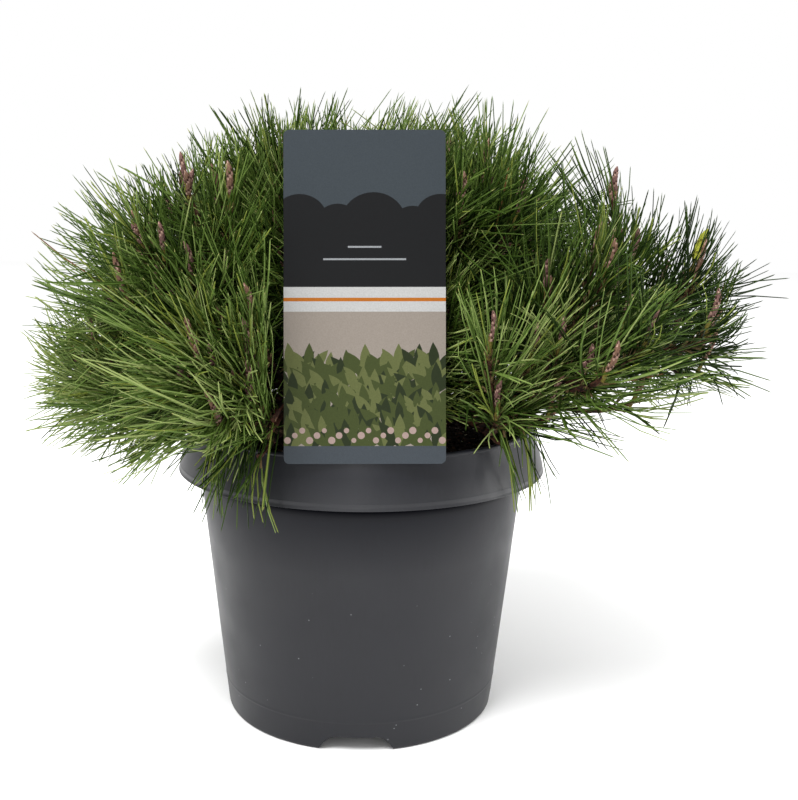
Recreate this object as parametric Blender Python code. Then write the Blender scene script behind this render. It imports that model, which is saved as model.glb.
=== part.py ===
"""Dwarf mountain pine in a three-litre nursery pot, with a plant label hooked over the rim.

Metres, +Z up.  The origin is the middle of the pot's underside, on the ground, and the
front of the plant, where the label stands, faces -Y.  The crown is a low dome of foliage
masses.  Each mass grows in its own share of directions seen from the crown's centre.
"""
import itertools
import math
import random

import bmesh
import bpy
from mathutils import Vector
from mathutils.geometry import intersect_point_line

UP = Vector((0.0, 0.0, 1.0))
CLEARANCE = 0.0003              # gap between pieces that rest on or meet each other

# Pot: heights above the ground and outer radii
POT_HEIGHT = 0.1519
RIM_TOP_RADIUS = 0.0894
SKIRT_RADIUS = 0.0950           # the lower edge of the rim's skirt, the widest place
SKIRT_BOTTOM = 0.1279
BODY_TOP_RADIUS = 0.0847        # the body where it passes under the skirt
BASE_RADIUS = 0.0709
RIDGE_HEIGHT = 0.0157           # the faint ring near the foot
POT_WALL = 0.0016
FLOOR_HEIGHT = 0.0080           # underside of the raised floor
FOOT_WIDTH = 0.0034
CENTRE_FOOT_RADIUS = 0.0140
NOTCH_HEIGHT = 0.0070
NOTCH_TOP_WIDTH = 0.0250
NOTCH_BOTTOM_WIDTH = 0.0390
NOTCH_COUNT = 4
DRAIN_RADIUS = 0.0045
DRAIN_RING = 0.0480
POT_SEGMENTS = 40

# Soil
SOIL_EDGE = 0.1390
SOIL_MIDDLE = 0.1415
SOIL_FLAT_RADIUS = 0.0170       # level patch round the foot of the trunk
SOIL_SEGMENTS = 30

# Label: a card that leans back, with a tongue hooked over the rim
LABEL_WIDTH = 0.0724
LABEL_HEIGHT = 0.1492
LABEL_THICKNESS = 0.0008
LABEL_CORNER = 0.0025
LABEL_FOOT = Vector((0.0036, -0.0912, 0.1491))   # middle of the lower edge
LABEL_LEAN = math.radians(10.1)
LABEL_TILT = math.radians(0.85)                  # in its own plane, right side up
TONGUE_WIDTH = 0.0200
TONGUE_DEPTH = 0.0105
TONGUE_FROM_WALL = 0.0030                        # clears the wall's curve at the tongue's edges

# Trunk
TRUNK_FOOT = Vector((-0.0020, 0.0020, SOIL_MIDDLE + CLEARANCE))
TRUNK_TOP = Vector((0.0045, -0.0015, 0.2020))
TRUNK_RADII = (0.0150, 0.0112, 0.0092, 0.0084, 0.0077, 0.0069, 0.0060, 0.0050)
TRUNK_HEIGHTS = (0.0, 0.04, 0.10, 0.22, 0.42, 0.62, 0.82, 1.0)
TRUNK_SIDES = 10

# Crown
CROWN_CENTRE = Vector((0.0, 0.0, 0.1600))
SPIRAL_MASSES = 23
GOLDEN_ANGLE = math.pi * (3.0 - math.sqrt(5.0))
SPIRAL_START = math.radians(62.0)
LOWEST_ELEVATION = math.radians(-11.0)
FRONT_LIFT = math.radians(20.0)          # the crown starts higher where the rim shows
DIRECTION_JITTER = math.radians(5.0)
CROWN_SEED = 41
# azimuth, elevation and reach of the two tufts that hang over the rim in front
RIM_TUFTS = ((-116.0, -7.0, 0.140), (-44.0, -7.0, 0.136))
# elevation in degrees and reach in metres, from under the dome to its top
DOME_PROFILE = ((-90.0, 0.122), (-16.0, 0.134), (-7.0, 0.163), (5.0, 0.177), (16.0, 0.184),
                (35.0, 0.190), (45.0, 0.180), (57.0, 0.170), (90.0, 0.160))
TIP_SLACK = 1.03
LOWEST_TIP = 0.1040
FRONT_SHORTER = 0.022
RIGHT_LOBE_ELEVATION = math.radians(14.0)
RIGHT_LOBE_EXTRA = 0.040
RIGHT_LOBE_SPREAD = (math.radians(32.0), math.radians(13.0))

# Limbs and foliage
TRUNK_ATTACHMENTS = (0.15, 0.96)         # shares of the trunk's height
RIM_PASSING_ELEVATION = 0.14             # radians: lower limbs are lifted over the rim
RIM_PASSING_LIFT = 0.060
LEAVING_RISE = (math.radians(17.0), math.radians(46.0))
HANDLE_SHARE = 0.36                      # length of a curve's handles, as a share of its span
UPTURN = 1.00                            # how far shoots turn up towards the light
LOW_UPTURN = 0.20
BOUGH_SHARE = 0.37                       # of the reach, where a bough ends in its mass
BOUGH_RADII = (0.0031, 0.0022)
BOUGH_RINGS = 6
BOUGH_SIDES = 5
LEADER_RINGS = 7
BOUGH_SAMPLES = 12
BOUGH_GAP = 0.0009                       # least distance between two boughs
BOUGH_NEIGHBOURS = math.radians(75.0)    # boughs further apart than this can't meet
FOOT_SLIDE = 0.005                       # share of the trunk moved in one round
FOOT_SWING = math.radians(0.9)
BUD_BELOW_REACH = 0.024
SHOOTS_AROUND = 3
SHOOT_SPREAD = math.radians(11.5)
SIDE_SHOOT_REACH = (0.90, 1.0)
FIRST_FORK = 0.10                        # share of the mass's stem, and the step between forks
FORK_STEP = 0.13
FORK_OPENING = 0.75
SHOOT_RINGS = 5
NEEDLED_LENGTH = 0.052
MOST_NEEDLED_SHARE = 0.70
BARE_BUD_LENGTH = 0.004
TWIG_RADIUS = 0.0019
CORE_RADIUS = 0.0034
NEEDLE_LENGTH = 0.058
NEEDLE_ROOT_RADIUS = 0.0015
NEEDLE_TIP_RADIUS = 0.0007
NEEDLES_PER_SHOOT = 7
NEEDLE_LEANS = tuple(math.radians(lean) for lean in (52.0, 40.0, 28.0, 17.0))
NEEDLE_TURNS = 3                         # directions tried round the shoot for each needle
NEEDLE_TURN_STEP = 1.3
NEEDLE_SUNK = 0.0016
MASS_GAP = 0.0008
LABEL_GAP = 0.0025
LABEL_STANDOFF = 0.0040
LABEL_MARGIN = 0.0120                    # masses that pass this near its edges stay behind it


def remove_scene_objects():
    for item in list(bpy.data.objects):
        bpy.data.objects.remove(item, do_unlink=True)


def make_material(name, colour, roughness, metallic=0.0):
    material = bpy.data.materials.new(name)
    material.use_nodes = True
    shader = material.node_tree.nodes["Principled BSDF"]
    shader.inputs["Base Color"].default_value = (*colour, 1.0)
    shader.inputs["Roughness"].default_value = roughness
    shader.inputs["Metallic"].default_value = metallic
    material.diffuse_color = (*colour, 1.0)
    return material


def make_object(name, vertices, faces, material=None):
    mesh = bpy.data.meshes.new(name)
    mesh.from_pydata([tuple(vertex) for vertex in vertices], [], faces)
    work = bmesh.new()
    work.from_mesh(mesh)
    bmesh.ops.recalc_face_normals(work, faces=work.faces)
    work.to_mesh(mesh)
    work.free()
    if material:
        mesh.materials.append(material)
    item = bpy.data.objects.new(name, mesh)
    bpy.context.scene.collection.objects.link(item)
    return item


def shade(item, angle=35.0):
    item.data.shade_smooth()
    item.data.set_sharp_from_angle(angle=math.radians(angle))


def lathe(profile, segments, waviness=None):
    """Turn a closed (radius, height) profile; a radius of 0 is a single pole vertex."""
    vertices = []
    rings = []
    for index, (radius, height) in enumerate(profile):
        if radius == 0.0:
            rings.append([len(vertices)])
            vertices.append((0.0, 0.0, height))
            continue
        rings.append(list(range(len(vertices), len(vertices) + segments)))
        for step in range(segments):
            angle = 2.0 * math.pi * step / segments
            lift = waviness(index, step) if waviness else 0.0
            vertices.append((radius * math.cos(angle), radius * math.sin(angle), height + lift))
    faces = []
    for lower, upper in zip(rings, rings[1:]):
        for step in range(segments):
            following = (step + 1) % segments
            if len(lower) == 1:
                faces.append((lower[0], upper[step], upper[following]))
            elif len(upper) == 1:
                faces.append((lower[step], lower[following], upper[0]))
            else:
                faces.append((lower[step], lower[following], upper[following], upper[step]))
    return vertices, faces


def tube(points, radii, sides, tangents=None):
    """A closed tapering tube along a line of points, with flat ends."""
    if tangents is None:
        before = [points[0]] + points[:-1]
        after = points[1:] + [points[-1]]
        tangents = [(far - near).normalized() for near, far in zip(before, after)]
    across = tangents[0].orthogonal().normalized()
    vertices = []
    for point, tangent, radius in zip(points, tangents, radii):
        across = (across - tangent * across.dot(tangent)).normalized()
        third = tangent.cross(across)
        for side in range(sides):
            angle = 2.0 * math.pi * side / sides
            vertices.append(point + (across * math.cos(angle) + third * math.sin(angle)) * radius)
    faces = [tuple(range(sides))[::-1]]
    for ring in range(len(points) - 1):
        base = ring * sides
        for side in range(sides):
            following = (side + 1) % sides
            faces.append((base + side, base + following,
                          base + sides + following, base + sides + side))
    faces.append(tuple(range((len(points) - 1) * sides, len(points) * sides)))
    return vertices, faces


def add_boolean(item, operation, cutter=None, collection=None):
    modifier = item.modifiers.new(operation.title(), "BOOLEAN")
    modifier.operation = operation
    modifier.solver = "EXACT"
    if collection:
        modifier.solver = "MANIFOLD"
        modifier.operand_type = "COLLECTION"
        modifier.collection = collection
    else:
        modifier.object = cutter
    return modifier


def make_cutter(name, vertices, faces):
    cutter = make_object(name, vertices, faces)
    cutter.hide_render = True
    cutter.display_type = "WIRE"
    return cutter


def body_radius(height):
    return BASE_RADIUS + (BODY_TOP_RADIUS - BASE_RADIUS) * height / SKIRT_BOTTOM


def inner_wall_radius(height):
    return body_radius(height) - POT_WALL


def pot_profile():
    skirt_slope = (SKIRT_RADIUS - RIM_TOP_RADIUS) / (POT_HEIGHT - SKIRT_BOTTOM)
    skirt_inner = SKIRT_RADIUS - POT_WALL
    crest = POT_HEIGHT - 0.0035
    lip = 0.0007
    return [
        (0.0, 0.0),
        (CENTRE_FOOT_RADIUS, 0.0),
        (CENTRE_FOOT_RADIUS + 0.0020, FLOOR_HEIGHT),
        (BASE_RADIUS - FOOT_WIDTH - 0.0025, FLOOR_HEIGHT),
        (BASE_RADIUS - FOOT_WIDTH, 0.0),
        (BASE_RADIUS - 0.0010, 0.0),
        (body_radius(0.0012), 0.0012),
        (body_radius(RIDGE_HEIGHT - 0.0006), RIDGE_HEIGHT - 0.0006),
        (body_radius(RIDGE_HEIGHT) + 0.0004, RIDGE_HEIGHT - 0.0002),
        (body_radius(RIDGE_HEIGHT) + 0.0004, RIDGE_HEIGHT + 0.0006),
        (body_radius(RIDGE_HEIGHT + 0.0010), RIDGE_HEIGHT + 0.0010),
        (body_radius(SKIRT_BOTTOM), SKIRT_BOTTOM),
        (body_radius(crest), crest),
        (skirt_inner - skirt_slope * (crest - SKIRT_BOTTOM), crest),
        (skirt_inner, SKIRT_BOTTOM),
        (SKIRT_RADIUS, SKIRT_BOTTOM),
        (SKIRT_RADIUS, SKIRT_BOTTOM + 0.0018),
        (SKIRT_RADIUS - 0.0006, SKIRT_BOTTOM + 0.0024),
        (RIM_TOP_RADIUS + 0.0003, POT_HEIGHT - 0.0014),
        (RIM_TOP_RADIUS + 0.0003, POT_HEIGHT - lip),
        (RIM_TOP_RADIUS - 0.0003, POT_HEIGHT),
        (RIM_TOP_RADIUS - 0.0016, POT_HEIGHT),
        (inner_wall_radius(POT_HEIGHT), POT_HEIGHT - 0.0012),
        (inner_wall_radius(FLOOR_HEIGHT + 0.0050), FLOOR_HEIGHT + 0.0050),
        (inner_wall_radius(FLOOR_HEIGHT) - 0.0020, FLOOR_HEIGHT + POT_WALL),
        (0.0, FLOOR_HEIGHT + POT_WALL),
    ]


def notch_cutter(index):
    """A short tunnel through the foot ring, wider at the ground than at its top."""
    turn = -math.pi / 2.0 + index * 2.0 * math.pi / NOTCH_COUNT
    outward = Vector((math.cos(turn), math.sin(turn), 0.0))
    across = Vector((-math.sin(turn), math.cos(turn), 0.0))
    bevel = 0.0022
    half_top = NOTCH_TOP_WIDTH / 2.0
    half_bottom = NOTCH_BOTTOM_WIDTH / 2.0
    lean = (half_bottom - half_top) * 0.55
    section = [(-half_bottom, -0.0020), (-half_bottom + 0.0015, 0.0008),
               (-half_top - lean, NOTCH_HEIGHT * 0.45), (-half_top - bevel * 0.3, NOTCH_HEIGHT - bevel),
               (-half_top + bevel, NOTCH_HEIGHT)]
    section += [(-side, height) for side, height in reversed(section)]
    count = len(section)
    vertices = []
    for distance in (BASE_RADIUS - 0.0140, BASE_RADIUS + 0.0060):
        vertices += [outward * distance + across * side + UP * height for side, height in section]
    faces = [tuple(range(count)), tuple(range(2 * count - 1, count - 1, -1))]
    for step in range(count):
        following = (step + 1) % count
        faces.append((step, step + count, following + count, following))
    return make_cutter(f"notch_cutter_{index + 1}", vertices, faces)


def drain_cutter(index):
    turn = (index + 0.5) * 2.0 * math.pi / NOTCH_COUNT
    centre = Vector((math.cos(turn), math.sin(turn), 0.0)) * DRAIN_RING
    ends = [centre + UP * (FLOOR_HEIGHT - 0.002), centre + UP * (FLOOR_HEIGHT + POT_WALL + 0.002)]
    vertices, faces = tube(ends, (DRAIN_RADIUS, DRAIN_RADIUS), 8)
    return make_cutter(f"drain_cutter_{index + 1}", vertices, faces)


def make_pot(material):
    vertices, faces = lathe(pot_profile(), POT_SEGMENTS)
    pot = make_object("pot", vertices, faces, material)
    for index in range(NOTCH_COUNT):
        add_boolean(pot, "DIFFERENCE", cutter=notch_cutter(index))
        add_boolean(pot, "DIFFERENCE", cutter=drain_cutter(index))
    shade(pot)
    return pot


def make_soil(material):
    draw = random.Random(CROWN_SEED)
    bottom = FLOOR_HEIGHT + POT_WALL + CLEARANCE
    corner = FLOOR_HEIGHT + 0.0050
    side_gap = CLEARANCE * 1.5
    facet_inset = math.cos(math.pi / POT_SEGMENTS)    # the pot's flat facets lie inside its radius
    corner_radius = inner_wall_radius(corner) * facet_inset - side_gap
    edge_radius = inner_wall_radius(SOIL_EDGE) * facet_inset - side_gap
    profile = [
        (0.0, bottom),
        (corner_radius - 0.0045, bottom),
        (corner_radius - 0.0004, corner + 0.0004),
        (edge_radius, SOIL_EDGE),
        (edge_radius - 0.012, SOIL_EDGE + 0.0004),
        (edge_radius * 0.62, SOIL_EDGE + 0.0012),
        (edge_radius * 0.40, SOIL_MIDDLE - 0.0004),
        (SOIL_FLAT_RADIUS, SOIL_MIDDLE),
        (0.0, SOIL_MIDDLE),
    ]
    loose_rings = (4, 5, 6)

    def waviness(ring, _step):
        return draw.uniform(-0.0010, 0.0008) if ring in loose_rings else 0.0

    vertices, faces = lathe(profile, SOIL_SEGMENTS, waviness)
    soil = make_object("soil", vertices, faces, material)
    shade(soil, 60.0)
    return soil


def label_axes():
    """The card's own right, up and forward directions."""
    flat_up = Vector((0.0, math.sin(LABEL_LEAN), math.cos(LABEL_LEAN)))
    flat_right = Vector((1.0, 0.0, 0.0))
    right = flat_right * math.cos(LABEL_TILT) + flat_up * math.sin(LABEL_TILT)
    up = flat_up * math.cos(LABEL_TILT) - flat_right * math.sin(LABEL_TILT)
    return right, up, right.cross(up)


def make_label(material):
    right, up, forward = label_axes()
    corner_steps = 3
    outline = []
    half = LABEL_WIDTH / 2.0
    corners = ((half, 0.0, -90.0), (half, LABEL_HEIGHT, 0.0),
               (-half, LABEL_HEIGHT, 90.0), (-half, 0.0, 180.0))
    for side, height, first in corners:
        centre_side = side - math.copysign(LABEL_CORNER, side)
        centre_height = LABEL_CORNER if height == 0.0 else height - LABEL_CORNER
        for step in range(corner_steps + 1):
            angle = math.radians(first + 90.0 * step / corner_steps)
            outline.append((centre_side + LABEL_CORNER * math.cos(angle),
                            centre_height + LABEL_CORNER * math.sin(angle)))
    count = len(outline)
    vertices = []
    for depth in (-LABEL_THICKNESS / 2.0, LABEL_THICKNESS / 2.0):
        vertices += [LABEL_FOOT + right * side + up * height + forward * depth
                     for side, height in outline]
    faces = [tuple(range(count))[::-1], tuple(range(count, 2 * count))]
    for step in range(count):
        following = (step + 1) % count
        faces.append((step, following, following + count, step + count))
    label = make_object("label", vertices, faces, material)
    hook = make_hook()
    add_boolean(label, "UNION", cutter=hook)
    apply_modifiers(label)
    bpy.data.objects.remove(hook, do_unlink=True)
    return label


def make_hook():
    """The bent tongue behind the card: over the rim's top, then down inside the wall."""
    under = POT_HEIGHT + CLEARANCE
    top = under + LABEL_THICKNESS
    card_depth = LABEL_FOOT.y + (top - LABEL_FOOT.z) * math.tan(LABEL_LEAN)
    outer = card_depth - LABEL_THICKNESS * 0.2
    inner = TONGUE_FROM_WALL - inner_wall_radius(POT_HEIGHT)
    foot = POT_HEIGHT - TONGUE_DEPTH
    section = [(outer, under), (inner - LABEL_THICKNESS, under), (inner - LABEL_THICKNESS + 0.0008, foot),
               (inner + 0.0008, foot), (inner, top), (outer, top)]
    count = len(section)
    left = LABEL_FOOT.x - TONGUE_WIDTH / 2.0
    vertices = [Vector((left, depth, height)) for depth, height in section]
    vertices += [Vector((left + TONGUE_WIDTH, depth, height)) for depth, height in section]
    faces = [tuple(range(count)), tuple(range(count, 2 * count))[::-1]]
    for step in range(count):
        following = (step + 1) % count
        faces.append((step, step + count, following + count, following))
    return make_object("hook", vertices, faces)


def trunk_axis(share):
    """The trunk's centre line, gently bowed to the left before it leans to the right."""
    bow = Vector((-0.0020, 0.0008, 0.0)) * math.sin(math.pi * share)
    return TRUNK_FOOT.lerp(TRUNK_TOP, share) + bow


def trunk_radius(share):
    for index in range(1, len(TRUNK_HEIGHTS)):
        low, high = TRUNK_HEIGHTS[index - 1], TRUNK_HEIGHTS[index]
        if share <= high:
            part = (share - low) / (high - low)
            return TRUNK_RADII[index - 1] + (TRUNK_RADII[index] - TRUNK_RADII[index - 1]) * part
    return TRUNK_RADII[-1]


def make_trunk(material):
    """Level rings, so that the foot is a flat cut on the soil."""
    vertices = []
    for share, radius in zip(TRUNK_HEIGHTS, TRUNK_RADII):
        centre = trunk_axis(share)
        for side in range(TRUNK_SIDES):
            angle = 2.0 * math.pi * side / TRUNK_SIDES
            flare = 1.0 + 0.10 * math.cos(3.0 * angle) * (1.0 - share) ** 6
            vertices.append(centre + Vector((math.cos(angle), math.sin(angle), 0.0)) * radius * flare)
    faces = [tuple(range(TRUNK_SIDES))[::-1]]
    for ring in range(len(TRUNK_HEIGHTS) - 1):
        base = ring * TRUNK_SIDES
        for side in range(TRUNK_SIDES):
            following = (side + 1) % TRUNK_SIDES
            faces.append((base + side, base + following,
                          base + TRUNK_SIDES + following, base + TRUNK_SIDES + side))
    last = (len(TRUNK_HEIGHTS) - 1) * TRUNK_SIDES
    faces.append(tuple(range(last, last + TRUNK_SIDES)))
    trunk = make_object("trunk", vertices, faces, material)
    shade(trunk, 50.0)
    return trunk


def heading(azimuth, elevation):
    flat = math.cos(elevation)
    return Vector((flat * math.cos(azimuth), flat * math.sin(azimuth), math.sin(elevation)))


def frontness(azimuth):
    return max(0.0, -math.sin(azimuth)) ** 2


def crown_reach(azimuth, elevation):
    """How far the needles go from the crown's centre in one direction."""
    degrees = math.degrees(elevation)
    reach = DOME_PROFILE[0][1]
    for (low, low_reach), (high, high_reach) in zip(DOME_PROFILE, DOME_PROFILE[1:]):
        if low <= degrees <= high:
            reach = low_reach + (high_reach - low_reach) * (degrees - low) / (high - low)
    turn = math.atan2(math.sin(azimuth), math.cos(azimuth))
    sideways = (turn / RIGHT_LOBE_SPREAD[0]) ** 2
    upward = ((elevation - RIGHT_LOBE_ELEVATION) / RIGHT_LOBE_SPREAD[1]) ** 2
    reach += RIGHT_LOBE_EXTRA * math.exp(-(sideways + upward) / 2.0)
    return reach - FRONT_SHORTER * frontness(azimuth) * math.cos(elevation)


def within_crown(tip):
    offset = tip - CROWN_CENTRE
    azimuth = math.atan2(offset.y, offset.x)
    elevation = math.asin(offset.z / offset.length)
    return offset.length < crown_reach(azimuth, elevation) * TIP_SLACK and tip.z > LOWEST_TIP


def label_distance(direction):
    """Distance from the crown's centre to the card's plane, or a long way past its edges."""
    right, up, forward = label_axes()
    facing = direction.dot(forward)
    if facing <= 0.0:
        return 1.0
    distance = (LABEL_FOOT - CROWN_CENTRE).dot(forward) / facing
    offset = CROWN_CENTRE + direction * distance - LABEL_FOOT
    beside = abs(offset.dot(right)) > LABEL_WIDTH / 2.0 + LABEL_MARGIN
    above = offset.dot(up) > LABEL_HEIGHT + LABEL_MARGIN
    return 1.0 if beside or above else distance


def mass_plan():
    """Direction and reach of every mass, on a jittered golden-angle spiral down the dome."""
    draw = random.Random(CROWN_SEED)
    plan = []
    for index in range(SPIRAL_MASSES):
        azimuth = SPIRAL_START + index * GOLDEN_ANGLE
        lowest = math.sin(LOWEST_ELEVATION + FRONT_LIFT * frontness(azimuth))
        share = (index + 0.5) / SPIRAL_MASSES
        elevation = math.asin(1.0 - share * (1.0 - lowest))
        elevation += draw.uniform(-1.0, 1.0) * DIRECTION_JITTER
        azimuth += draw.uniform(-1.0, 1.0) * DIRECTION_JITTER / max(0.3, math.cos(elevation))
        direction = heading(azimuth, elevation)
        reach = crown_reach(azimuth, elevation) * draw.uniform(0.96, 1.01)
        plan.append((direction, min(reach, label_distance(direction) - LABEL_STANDOFF)))
    for azimuth, elevation, reach in RIM_TUFTS:
        plan.append((heading(math.radians(azimuth), math.radians(elevation)), reach))
    return plan


def bezier(start, first, second, end, share):
    rest = 1.0 - share
    return (start * rest ** 3 + first * 3.0 * rest ** 2 * share
            + second * 3.0 * rest * share ** 2 + end * share ** 3)


class Limb:
    """One limb from the trunk to the bud of its mass's leading shoot."""

    def __init__(self, index, plan):
        self.index = index
        self.direction, self.reach = plan[index]
        lowness = sorted((item[0].z, number) for number, item in enumerate(plan))
        place = [number for _height, number in lowness].index(index) / (len(plan) - 1)
        self.share_up = TRUNK_ATTACHMENTS[0] + (TRUNK_ATTACHMENTS[1] - TRUNK_ATTACHMENTS[0]) * place
        self.azimuth = math.atan2(self.direction.y, self.direction.x)
        self.is_leader = place == 1.0
        self.route()

    def route(self):
        """Work out the limb's curve from where it leaves the trunk."""
        elevation = math.asin(self.direction.z)
        level = heading(self.azimuth, 0.0)
        if self.is_leader:
            self.start = trunk_axis(1.0) + UP * CLEARANCE
            leave = UP
        else:
            rise = min(max(elevation * 0.75, LEAVING_RISE[0]), LEAVING_RISE[1])
            leave = heading(self.azimuth, rise)
            under = self.share_up - BOUGH_RADII[0] / (TRUNK_TOP.z - TRUNK_FOOT.z)
            outside = trunk_radius(under) + CLEARANCE
            self.start = trunk_axis(self.share_up) + level * outside
        self.bud = CROWN_CENTRE + self.direction * (self.reach - BUD_BELOW_REACH)
        span = (self.bud - self.start).length
        over_rim = UP * max(0.0, RIM_PASSING_ELEVATION - elevation) * RIM_PASSING_LIFT
        upturn = UPTURN if elevation > 0.0 else LOW_UPTURN
        arrive = (self.direction + UP * upturn).normalized()
        self.first = self.start + leave * span * HANDLE_SHARE + over_rim
        self.second = self.bud - arrive * span * HANDLE_SHARE + over_rim
        self.cut = self.find_cut()

    def point(self, share):
        return bezier(self.start, self.first, self.second, self.bud, share)

    def tangent(self, share):
        step = 0.004
        return (self.point(min(1.0, share + step)) - self.point(max(0.0, share - step))).normalized()

    def find_cut(self):
        share = 0.20
        while (self.point(share) - CROWN_CENTRE).length < self.reach * BOUGH_SHARE:
            share += 0.005
        return share

    def bough_shares(self):
        return [self.cut * ring / (BOUGH_RINGS - 1) for ring in range(BOUGH_RINGS)]

    def leader_shares(self):
        """The limb's other stretch, from just past the bough's end to the bud."""
        first = self.cut
        while (self.point(first) - self.point(self.cut)).length < CLEARANCE * 1.3:
            first += 0.0002
        return [first + (1.0 - first) * ring / (LEADER_RINGS - 1) for ring in range(LEADER_RINGS)]

    def points(self, shares):
        return [self.point(share) for share in shares]

    def tangents(self, shares):
        """Directions of the rings, of which the one at the trunk stands against it."""
        seat = UP if self.is_leader else heading(self.azimuth, 0.0)
        return [self.tangent(share) if share > 0.0 else seat for share in shares]

    def bough_radii(self):
        thick, thin = BOUGH_RADII
        return [thick + (thin - thick) * ring / (BOUGH_RINGS - 1) for ring in range(BOUGH_RINGS)]

    def bough_samples(self):
        """Points along the bough with its radius at each."""
        thick, thin = BOUGH_RADII
        steps = BOUGH_SAMPLES - 1
        return [(self.point(self.cut * step / steps), thick + (thin - thick) * step / steps)
                for step in range(BOUGH_SAMPLES)]

    def gap_to(self, other):
        """Least distance between the two boughs' surfaces."""
        return min((point - near).length - radius - near_radius
                   for point, radius in self.bough_samples()
                   for near, near_radius in other.bough_samples())


def separate_boughs(limbs):
    """Slide the boughs' feet up, down and round the trunk until all of them pass clear."""
    lowest, highest = TRUNK_ATTACHMENTS
    for _round in range(60):
        crowded = False
        for first, second in itertools.combinations(limbs, 2):
            apart = first.direction.angle(second.direction) > BOUGH_NEIGHBOURS
            if apart or first.gap_to(second) > BOUGH_GAP:
                continue
            crowded = True
            lower, upper = sorted((first, second), key=lambda limb: limb.share_up)
            turn = math.sin(upper.azimuth - lower.azimuth)
            for limb, side in ((lower, -1.0), (upper, 1.0)):
                limb.share_up = min(max(limb.share_up + side * FOOT_SLIDE, lowest), highest)
                limb.azimuth += side * math.copysign(FOOT_SWING, turn)
                limb.route()
        if not crowded:
            return


def side_shoot(limb, number, draw):
    """Fork share on the limb, and the four control points of a shoot beside the leader."""
    turn = 2.0 * math.pi * (number + draw.uniform(-0.15, 0.15)) / SHOOTS_AROUND
    turn += limb.index * GOLDEN_ANGLE
    across = limb.direction.orthogonal().normalized()
    third = limb.direction.cross(across)
    sideways = across * math.cos(turn) + third * math.sin(turn)
    spread = SHOOT_SPREAD * draw.uniform(0.85, 1.15)
    aim = (limb.direction * math.cos(spread) + sideways * math.sin(spread)).normalized()
    reach = (limb.reach - BUD_BELOW_REACH) * draw.uniform(*SIDE_SHOOT_REACH)
    bud = CROWN_CENTRE + aim * reach
    fork_share = limb.cut + (1.0 - limb.cut) * (FIRST_FORK + FORK_STEP * number)
    fork = limb.point(fork_share)
    span = (bud - fork).length
    arrive = (aim + UP * UPTURN + sideways * 0.10).normalized()
    leave = (limb.tangent(fork_share) + sideways * FORK_OPENING).normalized()
    return fork, fork + leave * span * HANDLE_SHARE, bud - arrive * span * HANDLE_SHARE, bud


def shoot_points(controls):
    return [bezier(*controls, ring / (SHOOT_RINGS - 1)) for ring in range(SHOOT_RINGS)]


def needle_roots(points, number):
    """Root and shoot direction of one needle, spread along the shoot's last stretch."""
    lengths = [(after - before).length for before, after in zip(points, points[1:])]
    total = sum(lengths)
    needled = min(NEEDLED_LENGTH, total * MOST_NEEDLED_SHARE)
    back = needled * (1.0 - (number + 0.35) / NEEDLES_PER_SHOOT) + BARE_BUD_LENGTH
    place = total - back
    for index, length in enumerate(lengths):
        if place <= length or index == len(lengths) - 1:
            along = (points[index + 1] - points[index]).normalized()
            return points[index] + along * min(place, length), along
        place -= length
    return points[-1], along


def on_segment(point, start, end):
    nearest, share = intersect_point_line(point, start, end)
    return start if share < 0.0 else end if share > 1.0 else nearest


class Space:
    """What each mass may fill: its own directions, clear of limbs, pot, soil and label."""

    def __init__(self, limbs):
        self.directions = [limb.direction for limb in limbs]
        self.stretches = []
        for limb in limbs:
            points = limb.points(limb.bough_shares())
            for start, end in zip(points, points[1:]):
                self.stretches.append((limb.index, start, end))
        trunk = [trunk_axis(share) for share in (0.0, 0.35, 0.7, 1.0)]
        self.stretches += [(-1, start, end) for start, end in zip(trunk, trunk[1:])]
        self.right, self.up, self.forward = label_axes()

    def in_own_share(self, point, radius, index):
        offset = point - CROWN_CENTRE
        own = self.directions[index]
        for other_index, other in enumerate(self.directions):
            if other_index == index:
                continue
            if offset.dot((own - other).normalized()) < radius + MASS_GAP / 2.0:
                return False
        return True

    def clear_of_pot(self, point, radius):
        outward = math.hypot(point.x, point.y)
        if outward > SKIRT_RADIUS + radius + 0.0012:
            return True
        if point.z < SOIL_MIDDLE + radius + 0.0015:
            return False
        inside = outward < inner_wall_radius(SOIL_EDGE) - radius - 0.0030
        return inside or point.z > POT_HEIGHT + radius + 0.0012

    def clear_of_label(self, point, radius):
        offset = point - LABEL_FOOT
        if offset.dot(self.forward) < -(LABEL_GAP + radius):
            return True
        beside = abs(offset.dot(self.right)) > LABEL_WIDTH / 2.0 + radius + LABEL_GAP
        above = offset.dot(self.up) > LABEL_HEIGHT + radius + LABEL_GAP
        below = offset.dot(self.up) < -(radius + LABEL_GAP)
        return beside or above or below

    def clear_of_limbs(self, point, radius, index):
        for owner, start, end in self.stretches:
            if owner == index:
                continue
            limit = radius + (TRUNK_RADII[2] if owner < 0 else BOUGH_RADII[0]) + 0.0006
            if (point - on_segment(point, start, end)).length < limit:
                return False
        return True

    def takes(self, start, end, radius, index):
        """True when the whole stretch from start to end may be filled by the mass."""
        steps = 8
        for step in range(steps + 1):
            point = start.lerp(end, step / steps)
            if not (self.in_own_share(point, radius, index) and self.clear_of_pot(point, radius)
                    and self.clear_of_label(point, radius)
                    and self.clear_of_limbs(point, radius, index)):
                return False
        return True

    def takes_line(self, points, radius, index):
        return all(self.takes(start, end, radius, index) for start, end in zip(points, points[1:]))


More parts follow.
